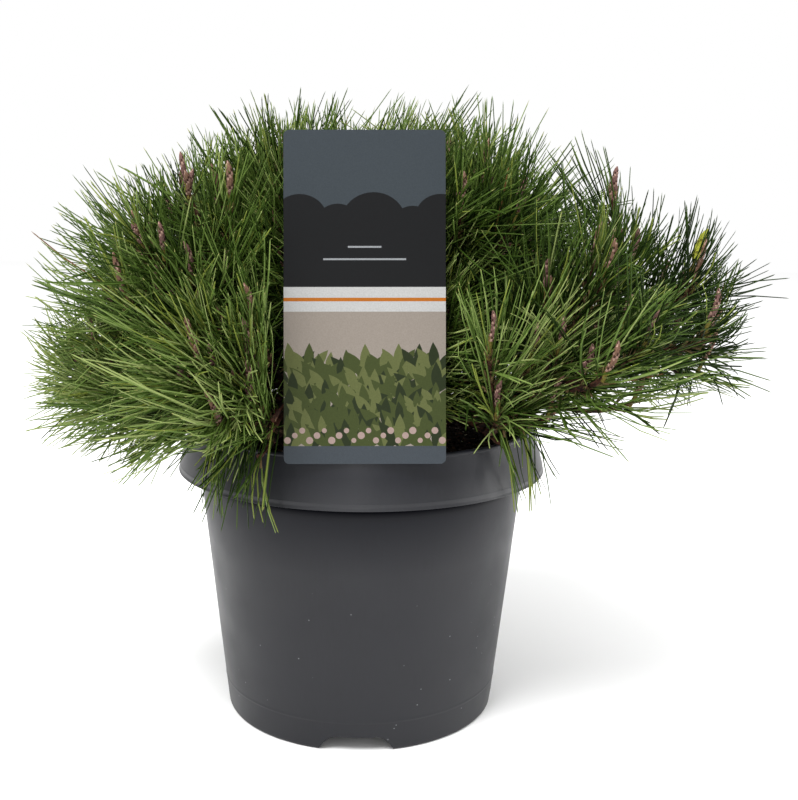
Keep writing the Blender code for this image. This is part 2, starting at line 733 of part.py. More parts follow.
def needle_shape(root, along, length, draw):
    """A three-sided needle sunk in the shoot, given as a closed tapering prism."""
    tip = root + along * length
    across = along.orthogonal().normalized()
    third = along.cross(across)
    twist = draw.uniform(0.0, 2.0 * math.pi)
    vertices = []
    for centre, radius in ((root - along * NEEDLE_SUNK, NEEDLE_ROOT_RADIUS), (tip, NEEDLE_TIP_RADIUS)):
        for side in range(3):
            angle = twist + 2.0 * math.pi * side / 3.0
            vertices.append(centre + (across * math.cos(angle) + third * math.sin(angle)) * radius)
    faces = [(0, 2, 1), (3, 4, 5), (0, 1, 4, 3), (1, 2, 5, 4), (2, 0, 3, 5)]
    return vertices, faces


def needles_of_shoot(points, limb, space, draw):
    """Needles turned by the golden angle up the shoot, leaning in where space is short."""
    shapes = []
    for number in range(NEEDLES_PER_SHOOT):
        root, along = needle_roots(points, number)
        across = along.orthogonal().normalized()
        third = along.cross(across)
        first_turn = number * GOLDEN_ANGLE + draw.uniform(-0.4, 0.4) + limb.index
        length = NEEDLE_LENGTH * draw.uniform(0.86, 1.06)
        opening = 1.15 - 0.55 * number / NEEDLES_PER_SHOOT
        for attempt in range(NEEDLE_TURNS * len(NEEDLE_LEANS)):
            turn = first_turn + (attempt // len(NEEDLE_LEANS)) * NEEDLE_TURN_STEP
            lean = NEEDLE_LEANS[attempt % len(NEEDLE_LEANS)] * opening
            sideways = across * math.cos(turn) + third * math.sin(turn)
            aim = (along * math.cos(lean) + sideways * math.sin(lean)).normalized()
            start = root + aim * CORE_RADIUS * 0.4
            end = start + aim * length
            if within_crown(end) and space.takes(start, end, NEEDLE_ROOT_RADIUS, limb.index):
                shapes.append(needle_shape(start, aim, length, draw))
                break
    return shapes


def shoot_tube(points, tangents=None):
    """A twig that thickens into the needled core and closes in its bud."""
    last = len(points) - 1
    radii = [TWIG_RADIUS + (CORE_RADIUS - TWIG_RADIUS) * min(1.0, 1.6 * index / last)
             for index in range(len(points))]
    radii[-1] = TWIG_RADIUS * 0.6
    return tube(points, radii, 4, tangents)


def linked_faces(work):
    """Groups of faces that share edges, the largest group first."""
    unvisited = set(work.faces)
    groups = []
    while unvisited:
        group = []
        front = [unvisited.pop()]
        while front:
            face = front.pop()
            group.append(face)
            for edge in face.edges:
                for other in edge.link_faces:
                    if other in unvisited and len(edge.link_faces) == 2:
                        unvisited.discard(other)
                        front.append(other)
        groups.append(group)
    return sorted(groups, key=len, reverse=True)


def apply_modifiers(item):
    """Put the evaluated shape in the object's own mesh, and keep its largest closed part."""
    evaluated = item.evaluated_get(bpy.context.evaluated_depsgraph_get())
    joined = bpy.data.meshes.new_from_object(evaluated)
    item.modifiers.clear()
    item.data = joined
    work = bmesh.new()
    work.from_mesh(joined)
    bmesh.ops.triangulate(work, faces=work.faces)
    for scrap in linked_faces(work)[1:]:
        bmesh.ops.delete(work, geom=scrap, context="FACES")
    work.to_mesh(joined)
    work.free()


def make_bough(limb, material):
    shares = limb.bough_shares()
    shape = tube(limb.points(shares), limb.bough_radii(), BOUGH_SIDES, limb.tangents(shares))
    bough = make_object(f"bough_{limb.index + 1:02d}", *shape, material)
    shade(bough, 50.0)
    return bough


def make_mass(limb, space, material):
    draw = random.Random(CROWN_SEED * 100 + limb.index)
    pieces = bpy.data.collections.new(f"pieces_{limb.index}")
    bpy.context.scene.collection.children.link(pieces)
    shares = limb.leader_shares()
    leader = limb.points(shares)
    stem = make_object(f"mass_{limb.index + 1:02d}", *shoot_tube(leader, limb.tangents(shares)), material)
    shoots = [leader]
    for number in range(SHOOTS_AROUND):
        points = shoot_points(side_shoot(limb, number, draw))
        if space.takes_line(points, CORE_RADIUS, limb.index):
            shoots.append(points)
            add_piece(pieces, *shoot_tube(points))
    for points in shoots:
        for shape in needles_of_shoot(points, limb, space, draw):
            add_piece(pieces, *shape)
    add_boolean(stem, "UNION", collection=pieces)
    apply_modifiers(stem)
    for piece in list(pieces.objects):
        bpy.data.objects.remove(piece, do_unlink=True)
    bpy.data.collections.remove(pieces)
    return stem


def add_piece(collection, vertices, faces):
    piece = make_object("piece", vertices, faces)
    bpy.context.scene.collection.objects.unlink(piece)
    collection.objects.link(piece)


def main():
    remove_scene_objects()
    pot_plastic = make_material("pot_plastic", (0.060, 0.063, 0.070), 0.48)
    potting_soil = make_material("potting_soil", (0.030, 0.020, 0.014), 0.95)
    label_card = make_material("label_card", (0.070, 0.085, 0.100), 0.35)
    bark = make_material("bark", (0.130, 0.080, 0.050), 0.85)
    greens = [make_material(f"needles_{number + 1}", colour, 0.55)
              for number, colour in enumerate(((0.070, 0.140, 0.030), (0.090, 0.170, 0.035),
                                               (0.050, 0.110, 0.028)))]
    make_pot(pot_plastic)
    make_soil(potting_soil)
    make_label(label_card)
    make_trunk(bark)
    plan = mass_plan()
    limbs = [Limb(index, plan) for index in range(len(plan))]
    separate_boughs(limbs)
    space = Space(limbs)
    for limb in limbs:
        make_bough(limb, bark)
        make_mass(limb, space, greens[limb.index % len(greens)])


main()
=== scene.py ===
"""Looks of a dwarf mountain pine in its nursery pot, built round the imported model.

Metres, +Z up; the front of the plant faces -Y.  The crown grows again by the rule of the part's
source, with the same seeded draws, and is carried on to finer shoots, pairs of needles with
their sheaths, and candles.
"""
import itertools
import random
from math import asin, atan2, copysign, cos, hypot, pi, radians, sin, sqrt, tan

import bpy
import numpy as np
from mathutils import Matrix, Vector, noise
from mathutils.geometry import delaunay_2d_cdt


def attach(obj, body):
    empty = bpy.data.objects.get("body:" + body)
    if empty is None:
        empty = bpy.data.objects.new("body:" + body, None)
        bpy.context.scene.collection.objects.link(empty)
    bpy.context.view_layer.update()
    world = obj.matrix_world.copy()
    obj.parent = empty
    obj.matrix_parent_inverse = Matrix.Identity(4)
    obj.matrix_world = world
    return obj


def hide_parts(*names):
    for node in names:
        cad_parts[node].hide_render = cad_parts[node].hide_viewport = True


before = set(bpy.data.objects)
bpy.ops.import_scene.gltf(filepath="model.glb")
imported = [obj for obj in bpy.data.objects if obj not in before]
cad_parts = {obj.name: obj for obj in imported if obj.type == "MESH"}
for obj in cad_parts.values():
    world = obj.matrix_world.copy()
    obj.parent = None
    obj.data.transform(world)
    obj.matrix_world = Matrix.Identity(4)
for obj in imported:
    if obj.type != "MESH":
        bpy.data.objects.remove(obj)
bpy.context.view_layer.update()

UP = Vector((0.0, 0.0, 1.0))
GOLDEN_ANGLE = pi * (3.0 - sqrt(5.0))
CLEARANCE = 0.0003

# Pot, as in the part's source
POT_HEIGHT = 0.1519
RIM_TOP_RADIUS = 0.0894
SKIRT_RADIUS = 0.095
SKIRT_BOTTOM = 0.1279
BODY_TOP_RADIUS = 0.0847
BASE_RADIUS = 0.0709
RIDGE_HEIGHT = 0.0157
POT_WALL = 0.0016
FLOOR_HEIGHT = 0.008
FOOT_WIDTH = 0.0034
CENTRE_FOOT_RADIUS = 0.014
NOTCH_HEIGHT = 0.0075
NOTCH_TOP_WIDTH = 0.025
NOTCH_BOTTOM_WIDTH = 0.039
NOTCH_COUNT = 4
NOTCH_CUT = (BASE_RADIUS - 0.014, BASE_RADIUS + 0.006)  # from and to this radius
DRAIN_RADIUS = 0.0045
DRAIN_RING = 0.048
POT_SEGMENTS = 160
POT_COLOUR = (17, 18, 23)
DUST_COLOUR = (104, 105, 108)
DUST_SPACING = 1.0 / 150.0

# Soil
SOIL_EDGE = 0.139
SOIL_MIDDLE = 0.1415
SOIL_SEGMENTS = 120
SOIL_RINGS = 34
SOIL_ROUGHNESS = 0.0016
SOIL_LUMPS = ((160.0, 0.6), (420.0, 0.4))  # how fine, and what share of the roughness
CHIP_COUNT = 2600
CHIP_LENGTH = (0.0016, 0.0052)
CHIP_BREADTH = (0.35, 0.75)     # these two are shares of the length
CHIP_DEPTH = (0.22, 0.42)
CHIP_SPLIT = (0.55, 1.15)       # how far corners are pulled in or out
CHIP_WALL_GAP = 0.0055
CHIP_ODDS = (8, 5, 2, 1)        # of the first four colours; the last is for the pale grains
GRAIN_COUNT = 240
GRAIN_LENGTH = (0.001, 0.0022)
CHIP_COLOURS = {"chip_dark": (28, 21, 17), "chip_brown": (46, 33, 25), "chip_red": (72, 44, 31),
                "chip_tan": (112, 88, 64), "chip_white": (206, 198, 184)}

# Label
LABEL_WIDTH = 0.0724
LABEL_HEIGHT = 0.1492
LABEL_THICKNESS = 0.0008
LABEL_CORNER = 0.0025
LABEL_FOOT = Vector((0.0036, -0.0912, 0.1491))
LABEL_LEAN = radians(10.1)
LABEL_TILT = radians(0.85)
TONGUE_WIDTH = 0.02
TONGUE_DEPTH = 0.0105
TONGUE_FROM_WALL = 0.003
LABEL_LIGHT = 0.31
LABEL_COLOURS = {
    "card": (208, 208, 204), "slate": (82, 91, 98), "charcoal": (34, 35, 37),
    "pale_ink": (196, 200, 204), "white_ink": (248, 248, 246), "ochre": (236, 138, 44),
    "beige": (196, 184, 172), "leaf_dark": (52, 64, 34), "leaf_mid": (86, 98, 50),
    "leaf_light": (126, 134, 80), "blossom": (216, 188, 178), "deep_slate": (90, 98, 106)}
# side, height and radius
HILLS = ((-0.029, 0.109, 0.0125), (-0.012, 0.107, 0.01), (0.004, 0.108, 0.0145),
         (0.0215, 0.1065, 0.0095), (0.034, 0.11, 0.0115))
HILL_SQUASH = 0.92
HILLS_HEIGHTS = (0.079, 0.1085)  # of the field below the hills
# low and high edge
LABEL_FIELDS = {"white_ink": (0.068, 0.079), "ochre": (0.0726, 0.0742),
                "beige": (0.008, 0.068)}
INK_LINES = ((0.0965, 0.015), (0.091, 0.037))  # height and width
INK_LINE_DEPTH = 0.0008
LEAF_ROWS = 9
LEAF_TOP = 0.04
LEAF_ROW_STEP = 0.0042
LEAF_SHIFT = 0.0012
LEAF_LENGTH = (0.01, 0.015)
LEAF_TURN = 0.75
LEAF_FULLNESS = 0.34
LEAF_STEPS = 7
BLOSSOMS = 22
BLOSSOM_LOW = 0.0105
BLOSSOM_STEP = 0.0022
BLOSSOM_RADIUS = (0.0011, 0.0017)

# Trunk
TRUNK_FOOT = Vector((-0.002, 0.002, SOIL_MIDDLE + CLEARANCE))
TRUNK_TOP = Vector((0.0045, -0.0015, 0.202))
TRUNK_RADII = (0.015, 0.0112, 0.0092, 0.0084, 0.0077, 0.0069, 0.006, 0.005)
TRUNK_HEIGHTS = (0.0, 0.04, 0.1, 0.22, 0.42, 0.62, 0.82, 1.0)
TRUNK_BOW = Vector((-0.002, 0.0008, 0.0))
TRUNK_RINGS = 84
TRUNK_SIDES = 60
TRUNK_PLATES = (0.0052, 0.0007)  # size and height of the bark's plates
BOUGH_PLATES = (0.0026, 0.00032)
BOUGH_SIDES = 14
BOUGH_STEP = 0.0014
BOUGH_COLLAR = (0.75, 0.0042)   # how much thicker at the trunk, and how far along
CRACK_DEPTH = -0.15             # bark lower than this is dark
CRACK_SLOPE = 3.2
PLATE_STRETCH = 0.55            # plates are longer than they are wide by its inverse
PLATE_WARP = (1.4, 0.5)         # size and depth, in plates, of the bends in the cracks
PLATE_GRAIN = (0.25, 0.35)      # size, in plates, and height of what roughens them
ROOT_FLARE = 0.1
ROOT_COUNT = 3.0
TRUNK_END = (6.0, 0.55)         # how fast and how far it narrows to its tip
WOOD_COLOURS = {"old_bark": ((78, 62, 50), 1.8), "crack_bark": ((40, 29, 23), 1.5)}

# Crown, by the source's rule
CROWN_CENTRE = Vector((0.0, 0.0, 0.16))
SPIRAL_MASSES = 23
SPIRAL_START = radians(62.0)
LOWEST_ELEVATION = radians(-11.0)
FRONT_LIFT = radians(20.0)
DIRECTION_JITTER = radians(5.0)
REACH_JITTER = (0.96, 1.01)
CROWN_SEED = 41
# azimuth, elevation and reach of the two tufts over the rim in front
RIM_TUFTS = ((-116.0, -7.0, 0.14), (-44.0, -7.0, 0.136))
# elevation and reach
DOME_PROFILE = ((-90.0, 0.122), (-16.0, 0.134), (-7.0, 0.163), (5.0, 0.177), (16.0, 0.184),
                (35.0, 0.19), (45.0, 0.18), (57.0, 0.17), (90.0, 0.16))
FRONT_SHORTER = 0.022
RIGHT_LOBE_ELEVATION = radians(14.0)
RIGHT_LOBE_EXTRA = 0.04
RIGHT_LOBE_SPREAD = (radians(32.0), radians(13.0))
TRUNK_ATTACHMENTS = (0.15, 0.96)
RIM_PASSING_ELEVATION = 0.14
RIM_PASSING_LIFT = 0.06
LEAVING_RISE = (radians(17.0), radians(46.0))
HANDLE_SHARE = 0.36
UPTURN = 1.0
LOW_UPTURN = 0.2
BOUGH_SHARE = 0.37
BOUGH_RADII = (0.0031, 0.0022)
BOUGH_SAMPLES = 12
BOUGH_GAP = 0.0009
BOUGH_NEIGHBOURS = radians(75.0)
FOOT_SLIDE = 0.005
FOOT_SWING = radians(0.9)
BUD_BELOW_REACH = 0.024
SHOOTS_AROUND = 3
SHOOT_SPREAD = radians(11.5)
SIDE_SHOOT_REACH = (0.9, 1.0)
FIRST_FORK = 0.1
FORK_STEP = 0.13
FORK_OPENING = 0.75
LABEL_STANDOFF = 0.004
LABEL_MARGIN = 0.012
LABEL_GAP = 0.003
POT_GAP = 0.0012

# Finer shoots, which only the scene has
FINER_SHOOTS = 16
AIRY_MASSES = (18, 21)          # low at the right, where the crown lets the light through
AIRY_SHOOTS = 9
FINER_SPREAD = (radians(3.0), radians(22.0))
FINER_REACH = (0.74, 1.0)
FINER_FORKS = (0.1, 0.58)
FINER_UPTURN = (1.5, 3.0)       # at the lower and the upper of the two elevations below
UPTURN_ELEVATIONS = (radians(-8.0), radians(12.0))
FINER_RISE = 0.3
FINER_HANDLE = 0.52             # long handles keep the shoots' ends straight and upright
INNER_SHOOTS = 6                # short shoots on the boughs, which close the crown's inside; their dark green is painted shade
INNER_PLACES = (0.55, 1.15)
INNER_LENGTH = (0.034, 0.052)
HANGING_SHOOTS = (10, 6)        # over the rim at the left and at the right of the label
HANGING_ARCS = ((-133.0, -110.0), (-62.0, -34.0))
HANGING_BUD = (0.106, 0.121)
HANGING_HEIGHT = (0.158, 0.166)
RISING_SHOOTS = 11
RISING_SWING = radians(17.0)
RISING_ELEVATION = (radians(3.0), radians(24.0))
RISING_REACH = (0.098, 0.128)
SHOOT_STEP = 0.0024
STEM_SAMPLES = 60
SHOOT_SAMPLES = 40
TWIG_RADII = (0.0015, 0.0012)
LEADER_RADIUS = 0.0021          # where a limb's leading shoot goes on from its bough
TWIG_SIDES = 7
TWIG_ROUGHNESS = 0.0003
PALE_SHARE = 0.07               # of a twig's faces
RED_SHARE = (0.1, 0.85)         # at the foot, and how many more at the young end
DARK_FROM = (0.3, 0.6)          # draws above this are dark: at the foot, and the rise from there
TWIG_COLOURS = {"twig_brown": (46, 30, 24), "twig_red": (62, 38, 28), "twig_dark": (26, 18, 15),
                "twig_pale": (84, 64, 50)}

# Needles
PAIR_STEP = 0.00082             # distance between pairs on a shoot's young end
OLD_PAIR_STEP = 0.003           # and on its older part, where many have dropped
YOUNG_LENGTH = 0.026
YOUNG_MOST = 0.7                # of the needled part
HANGING_THINNER = 1.5           # pairs stand this much further apart where they hang
NEEDLED_LENGTH = 0.056
NEEDLED_SHARE = 0.86
CANDLE_ZONE = (0.01, 0.016)     # bare stretch at a shoot's end, where its candle stands
NEEDLE_LENGTH = 0.043
YOUNG_BACK = 0.1                # pairs this near a shoot's end are young: shorter, and many yellow
YOUNG_SHARE = 0.68
YOUNG_YELLOW = 0.3
SHOOT_SCATTER = 0.1             # needles are longer on some shoots than on others
NEEDLE_WIDTH = 0.0008
NEEDLE_FLATNESS = 0.62
NEEDLE_STATIONS = ((0.0, 0.72), (0.34, 1.0), (0.74, 0.95), (0.972, 0.66))
FRONT_LEAN = radians(19.0)
BACK_LEAN = radians(56.0)
LEAN_CURVE = 0.75
LEAN_SCATTER = radians(12.0)
LEAN_RANGE = (0.12, 1.35)
LENGTH_SCATTER = 0.07
LENGTH_RANGE = (0.74, 1.16)
SHOOT_RANGE = (0.8, 1.2)
LEAN_TRIES = (1.0, 0.8, 1.2, 0.6, 1.45, 0.4)
TRIED_RANGE = (0.1, 1.5)
PAIR_OPENING = (radians(2.0), radians(9.0))
INWARD_BEND = (-0.35, 0.42)
LOW_BEND = (-0.9, 0.35)         # upward bend of the lowest needles, and of those in the crown
RISING_BEND = (-0.3, 1.35)
BEND_HEIGHTS = (0.155, 0.215)
DROOPING_BEND = (-0.8, -0.3)
HANGING = 4.0                   # the most a hanging needle is pulled down, against its own aim
LEAST_HANGING = 0.35
HANGING_LENGTH = 0.98
SKEW_BEND = 0.32
SHOOT_BEND = 0.36
LEAST_NEEDLED = 0.5             # side shoots that would bear fewer of their needles are left out
TIP_SLACK = (0.91, 1.05)
MOST_TRIM = 1.1
LEFT_LIMIT = (-0.18, 0.34)      # furthest left at the middle, and the share of y taken off in front
FIT_STEPS = 9                   # places along a needle where it has to be clear
# angle seen from the front, and what it adds to the reach
SILHOUETTE = ((-180.0, 0.04), (-170.0, 0.22), (-160.0, -0.01), (-25.0, -0.14), (-10.0, -0.16),
              (0.0, 0.07), (10.0, -0.01), (20.0, 0.03), (30.0, -0.01), (50.0, -0.02), (70.0, 0.04),
              (90.0, -0.03), (110.0, -0.03), (130.0, -0.05), (142.0, 0.05), (152.0, 0.09), (170.0, 0.03),
              (180.0, 0.04))
RIM_LINE = 0.084                # outside this radius tips stay above the crown's lower edge
# azimuth, height and rise of the crown's lower edge
LOWER_EDGE = ((-180.0, 0.126, 0.28), (-150.0, 0.131, 0.4), (-142.0, 0.142, 0.4),
              (-138.0, 0.117, 0.4), (-109.0, 0.117, 0.4), (-105.0, 0.153, 0.4),
              (-68.0, 0.153, 0.4), (-64.0, 0.118, 0.4), (-34.0, 0.118, 0.4), (-28.0, 0.162, 0.2),
              (0.0, 0.158, 0.1), (45.0, 0.148, 0.2), (75.0, 0.13, 0.4), (110.0, 0.124, 0.4),
              (150.0, 0.128, 0.4), (180.0, 0.126, 0.28))
EDGE_MARGIN = 0.006             # how far shoots stay above it
LEAST_LEFT = 0.3                # of a shoot that starts too low, this much is left
EDGE_START = 0.115              # past this radius the lower edge rises, by the third numbers
HANGING_REACH = 0.131           # needles hang over the rim no further out than this
HANGING_LIMIT = 0.149
AIRY_SHARE = 0.55               # this share of pairs has dropped low down at the right
AIRY_SIDE = (0.05, 0.085)
AIRY_HEIGHT = (0.172, 0.204)
SOIL_WINDOW = (-0.085, -0.04)   # right of and nearer than this the soil shows in front
WINDOW_HEIGHTS = (0.152, 0.163)  # and there only what hangs goes below this: shoots, needles
SHEATH_LENGTH = 0.005
SHEATH_WIDTH = 0.0012
NEEDLE_PIECES = 6
# sRGB, from the darkest to the lightest
GREENS = ((20, 34, 7), (32, 49, 11), (46, 65, 18), (63, 83, 30), (82, 102, 45),
          (103, 121, 62), (125, 138, 80))
GREEN_GLOSS = (0.05, 0.16)      # specular level of the darkest and the lightest green
GREEN_ROUGHNESS = 0.48
OTHER_NEEDLES = (("needle_tip", (122, 124, 66), 0.55, 0.3), ("needle_dead", (104, 72, 40), 0.75, 0.2),
                 ("needle_young", (106, 118, 46), 0.5, 0.2))
# faces of a needle, from its root; the root faces take a darker green as painted shade, the outer faces and
# the tip a lighter one as painted light
ROOT_FACES = slice(0, 4)
OUTER_FACES = slice(7, 10)
TIP_FACES = slice(-3, None)
TIP_SHARE = 0.4
TIPPED_GREENS = 3               # this green and the lighter ones have yellow tips
UPPER_SHARE = 0.6               # needles whose outer third is a level lighter, as painted light
DEAD_SHARE = 0.003
OLDEST_SHEATH = 0.72
# Shoot tones by place, below, are painted light and shade: lighter in front, at the left and low at the
# sides, darker at the far right and on top.
TONE = 2.9                      # where a shoot's green lies, counted in GREENS
TONE_SPREAD = 0.8
NEEDLE_SPREAD = 0.95
FRESH_TONE = 0.3
OLD_TONE = 3.0                  # how much darker at the end of the needled part
# The inner shoots' dark green is painted shade inside the crown.
INNER_TONE = 1.0
TUFT_TONES = (4.0, 2.1)         # over the rim: standing, hanging
RIGHT_TONES = (1.0, 0.03, -4.0, -150.0)  # a rise, its width, then by distance and its square
FRONT_TONE = 6.0
LEFT_TONE = 2.0
TOP_TONE = (0.25, -5.0)
LOW_BAND = (0.205, 0.035)       # below this height, fully so this much lower
LOW_TONES = ((4.8, 0.06), (1.4, 0.08))  # there: a rise at the right and the left, with its width

# Candles
CANDLE_RINGS = 13
CANDLE_SIDES = 8
CANDLE_RADIUS = 0.00138
CANDLE_ODDS = (0.5, 0.31, 0.19)  # of one, two and three together
CANDLE_LIFT = (0.0, 0.004)
CANDLE_STRETCH = (0.95, 1.25)
CANDLE_GIRTH = (0.85, 1.12)
CANDLE_SWELL = (0.42, 0.6)      # where it is thickest, and how far its ends are from there
SCALE_RELIEF = (1.08, 0.84)
ASIDE_TURN = (0.22, 0.4)        # of the second and third candle
ASIDE_SHARE = 0.75
STEM_PLACES = (0.0, 0.35, 0.7, 1.0)
CANDLE_STEM = 0.001
LOWEST_CANDLE = 0.165
LOBE_BUD_MASS = 10              # its leading shoot ends in the fat yellow-green bud at the right
LOBE_BUD_SIZE = (0.017, 0.0023)
LOBE_BUD_LIFT = 0.009
CANDLE_COLOURS = {
    "candle_purple": (98, 72, 67), "candle_brown": (102, 77, 62), "candle_groove": (54, 34, 27),
    "bud_green": (142, 146, 50), "bud_groove": (100, 96, 32), "new_stem": (92, 84, 36),
    "scale_edge": (146, 118, 105)}

# Camera, fitted to the photograph
IMAGE_HEIGHT = 800.0
FOCAL_PIXELS = 1112.0
SENSOR = 36.0
CAMERA_PLACE = Vector((0.015, -0.5753, 0.2649))
CAMERA_PITCH = 0.177
CAMERA_YAW = 0.007
CAMERA_ROLL = 0.0148

# Studio: name, place, target, size and power of each light
LIGHTS = (("key", (-0.66, -0.9, 2.06), (0.0, 0.0, 0.15), 1.3, 74.0),
          ("right", (0.62, 0.14, 0.5), (0.6, 0.14, 0.0), 0.3, 1.5),
          ("side", (1.45, -0.1, 0.12), (0.0, 0.0, 0.06), 0.6, 9.0),
          ("front", (-0.05, -2.0, 0.36), (0.0, 0.0, 0.14), 0.25, 3.5))
FLOOR_COLOUR = (246, 246, 246)
FLOOR_HALF = 4.0
FLOOR_DEPTH = 0.0002

EVEN = (1.0, 1.0, 1.0)          # a grain's stretch where it has none


def linear(colour):
    """Scene-linear values of an sRGB colour given in 0 to 255."""
    shares = [channel / 255.0 for channel in colour]
    return tuple(((share + 0.055) / 1.055) ** 2.4 if share > 0.04 else share / 12.92
                 for share in shares)


class Finish:
    """A Principled material, with short calls for the nodes that vary it."""

    def __init__(self, name, colour, roughness, specular=0.5):
        self.material = bpy.data.materials.new(name)
        self.material.use_nodes = True
        self.tree = self.material.node_tree
        self.surface = self.tree.nodes["Principled BSDF"]
        self.colour = (*linear(colour), 1.0)
        self.surface.inputs["Base Color"].default_value = self.colour
        self.surface.inputs["Roughness"].default_value = roughness
        self.surface.inputs["Specular IOR Level"].default_value = specular
        self.material.diffuse_color = self.colour

    def node(self, kind, **inputs):
        made = self.tree.nodes.new(kind)
        for name, value in inputs.items():
            self.put(value, made.inputs[name.replace("_", " ")])
        return made

    def put(self, value, socket):
        if isinstance(value, bpy.types.NodeSocket):
            self.tree.links.new(value, socket)
        else:
            socket.default_value = value

    def place(self, stretch=EVEN):
        """Position on the object in metres, stretched along the axes."""
        where = self.node("ShaderNodeTexCoord").outputs["Object"]
        return self.node("ShaderNodeMapping", Vector=where, Scale=stretch).outputs["Vector"]

    def grain(self, size, detail, stretch=EVEN):
        """Noise between 0 and 1 with features of the given size."""
        return self.node("ShaderNodeTexNoise", Vector=self.place(stretch), Scale=1.0 / size,
                         Detail=detail).outputs["Fac"]

    def ranged(self, value, low, high, to_low=0.0, to_high=1.0):
        return self.node("ShaderNodeMapRange", Value=value, From_Min=low, From_Max=high,
                         To_Min=to_low, To_Max=to_high).outputs["Result"]

    def math(self, operation, first, second):
        made = self.tree.nodes.new("ShaderNodeMath")
        made.operation = operation
        self.put(first, made.inputs[0])
        self.put(second, made.inputs[1])
        return made.outputs["Value"]

    def mix(self, share, first, second):
        made = self.tree.nodes.new("ShaderNodeMix")
        made.data_type = "RGBA"
        self.put(share, made.inputs[0])
        self.put(first, made.inputs[6])
        self.put(second, made.inputs[7])
        return made.outputs[2]

    def paint(self, value):
        self.put(value, self.surface.inputs["Base Color"])

    def gloss(self, value):
        self.put(value, self.surface.inputs["Roughness"])

    def bump(self, height, strength, distance):
        made = self.node("ShaderNodeBump", Height=height, Strength=strength, Distance=distance)
        self.put(made.outputs["Normal"], self.surface.inputs["Normal"])


def shaded(colour, factor):
    """An sRGB colour made lighter or darker in scene-linear light."""
    return (*(channel * factor for channel in linear(colour)), 1.0)


def mottled(name, colour, shades, surface, grain, bump, stretch=EVEN):
    """A material between two shades of a colour, rough and bumpy.

    surface is roughness and specular level; grain is size, detail and the range that is spread
    over the shades; bump is size, detail, strength and distance.
    """
    finish = Finish(name, colour, *surface)
    size, detail, low, high = grain
    share = finish.ranged(finish.grain(size, detail, stretch), low, high)
    finish.paint(finish.mix(share, shaded(colour, shades[0]), shaded(colour, shades[1])))
    finish.bump(finish.grain(*bump[:2]), *bump[2:])
    return finish.material


def make_piece(name, vertices, faces, materials, tints=None, smooth=None):
    """A mesh object in the scene, with its materials."""
    mesh = bpy.data.meshes.new(name)
    mesh.from_pydata(vertices, [], faces)
    for material in materials:
        mesh.materials.append(material)
    if tints is not None:
        mesh.polygons.foreach_set("material_index", np.asarray(tints, dtype=np.int32))
    if smooth is not None:
        mesh.shade_smooth()
        if smooth < 180.0:
            mesh.set_sharp_from_angle(angle=radians(smooth))
    mesh.update()
    piece = bpy.data.objects.new(name, mesh)
    bpy.context.scene.collection.objects.link(piece)
    return piece


class Gathered:
    """Vertices, faces and material numbers of many small shapes that become one mesh."""

    def __init__(self):
        self.vertices = []
        self.faces = []
        self.tints = []

    def add(self, vertices, faces, tint):
        base = len(self.vertices)
        self.vertices.extend(vertices)
        self.faces.extend([tuple(base + corner for corner in face) for face in faces])
        self.tints.extend(tint if isinstance(tint, list) else [tint] * len(faces))

    def piece(self, name, materials, smooth=None):
        return make_piece(name, self.vertices, self.faces, materials, self.tints, smooth)


def rounded(corners, steps=4):
    """A profile whose corners (radius, height, rounding) are turned into short curves."""
    points = []
    last = len(corners) - 1
    for index, (radius, height, rounding) in enumerate(corners):
        corner = Vector((radius, height))
        if rounding == 0.0 or index in (0, last):
            points.append(corner)
            continue
        before = Vector(corners[index - 1][:2]) - corner
        after = Vector(corners[index + 1][:2]) - corner
        start = corner + before.normalized() * min(rounding, before.length * 0.45)
        end = corner + after.normalized() * min(rounding, after.length * 0.45)
        for step in range(steps + 1):
            share = step / steps
            first = start.lerp(corner, share)
            points.append(first.lerp(corner.lerp(end, share), share))
    return points


def around(count):
    """Angles of a full turn in equal steps."""
    return [2.0 * pi * step / count for step in range(count)]


def band(first, second, count):
    """Faces between two rings of vertices, given by their first ones."""
    return [(first + step, first + (step + 1) % count, second + (step + 1) % count, second + step)
            for step in range(count)]


def wall(count):
    """Faces between two equal outlines that follow each other, facing the other way."""
    return [(step, step + count, (step + 1) % count + count, (step + 1) % count)
            for step in range(count)]


def lathe(profile, segments):
    """Turn a profile that starts and ends on the axis."""
    vertices = [(0.0, 0.0, profile[0][1])]
    for radius, height in profile[1:-1]:
        vertices += [(radius * cos(angle), radius * sin(angle), height)
                     for angle in around(segments)]
    vertices.append((0.0, 0.0, profile[-1][1]))
    top = len(vertices) - 1 - segments
    faces = []
    for step in range(segments):
        following = (step + 1) % segments
        faces.append((0, 1 + following, 1 + step))
        for low in range(1, top, segments):
            high = low + segments
            faces.append((low + step, low + following, high + following, high + step))
        faces.append((top + step, top + following, len(vertices) - 1))
    return vertices, faces


def heading(azimuth, elevation=0.0):
    flat = cos(elevation)
    return Vector((flat * cos(azimuth), flat * sin(azimuth), sin(elevation)))


def body_radius(height):
    return BASE_RADIUS + (BODY_TOP_RADIUS - BASE_RADIUS) * height / SKIRT_BOTTOM


def inner_wall_radius(height):
    return body_radius(height) - POT_WALL


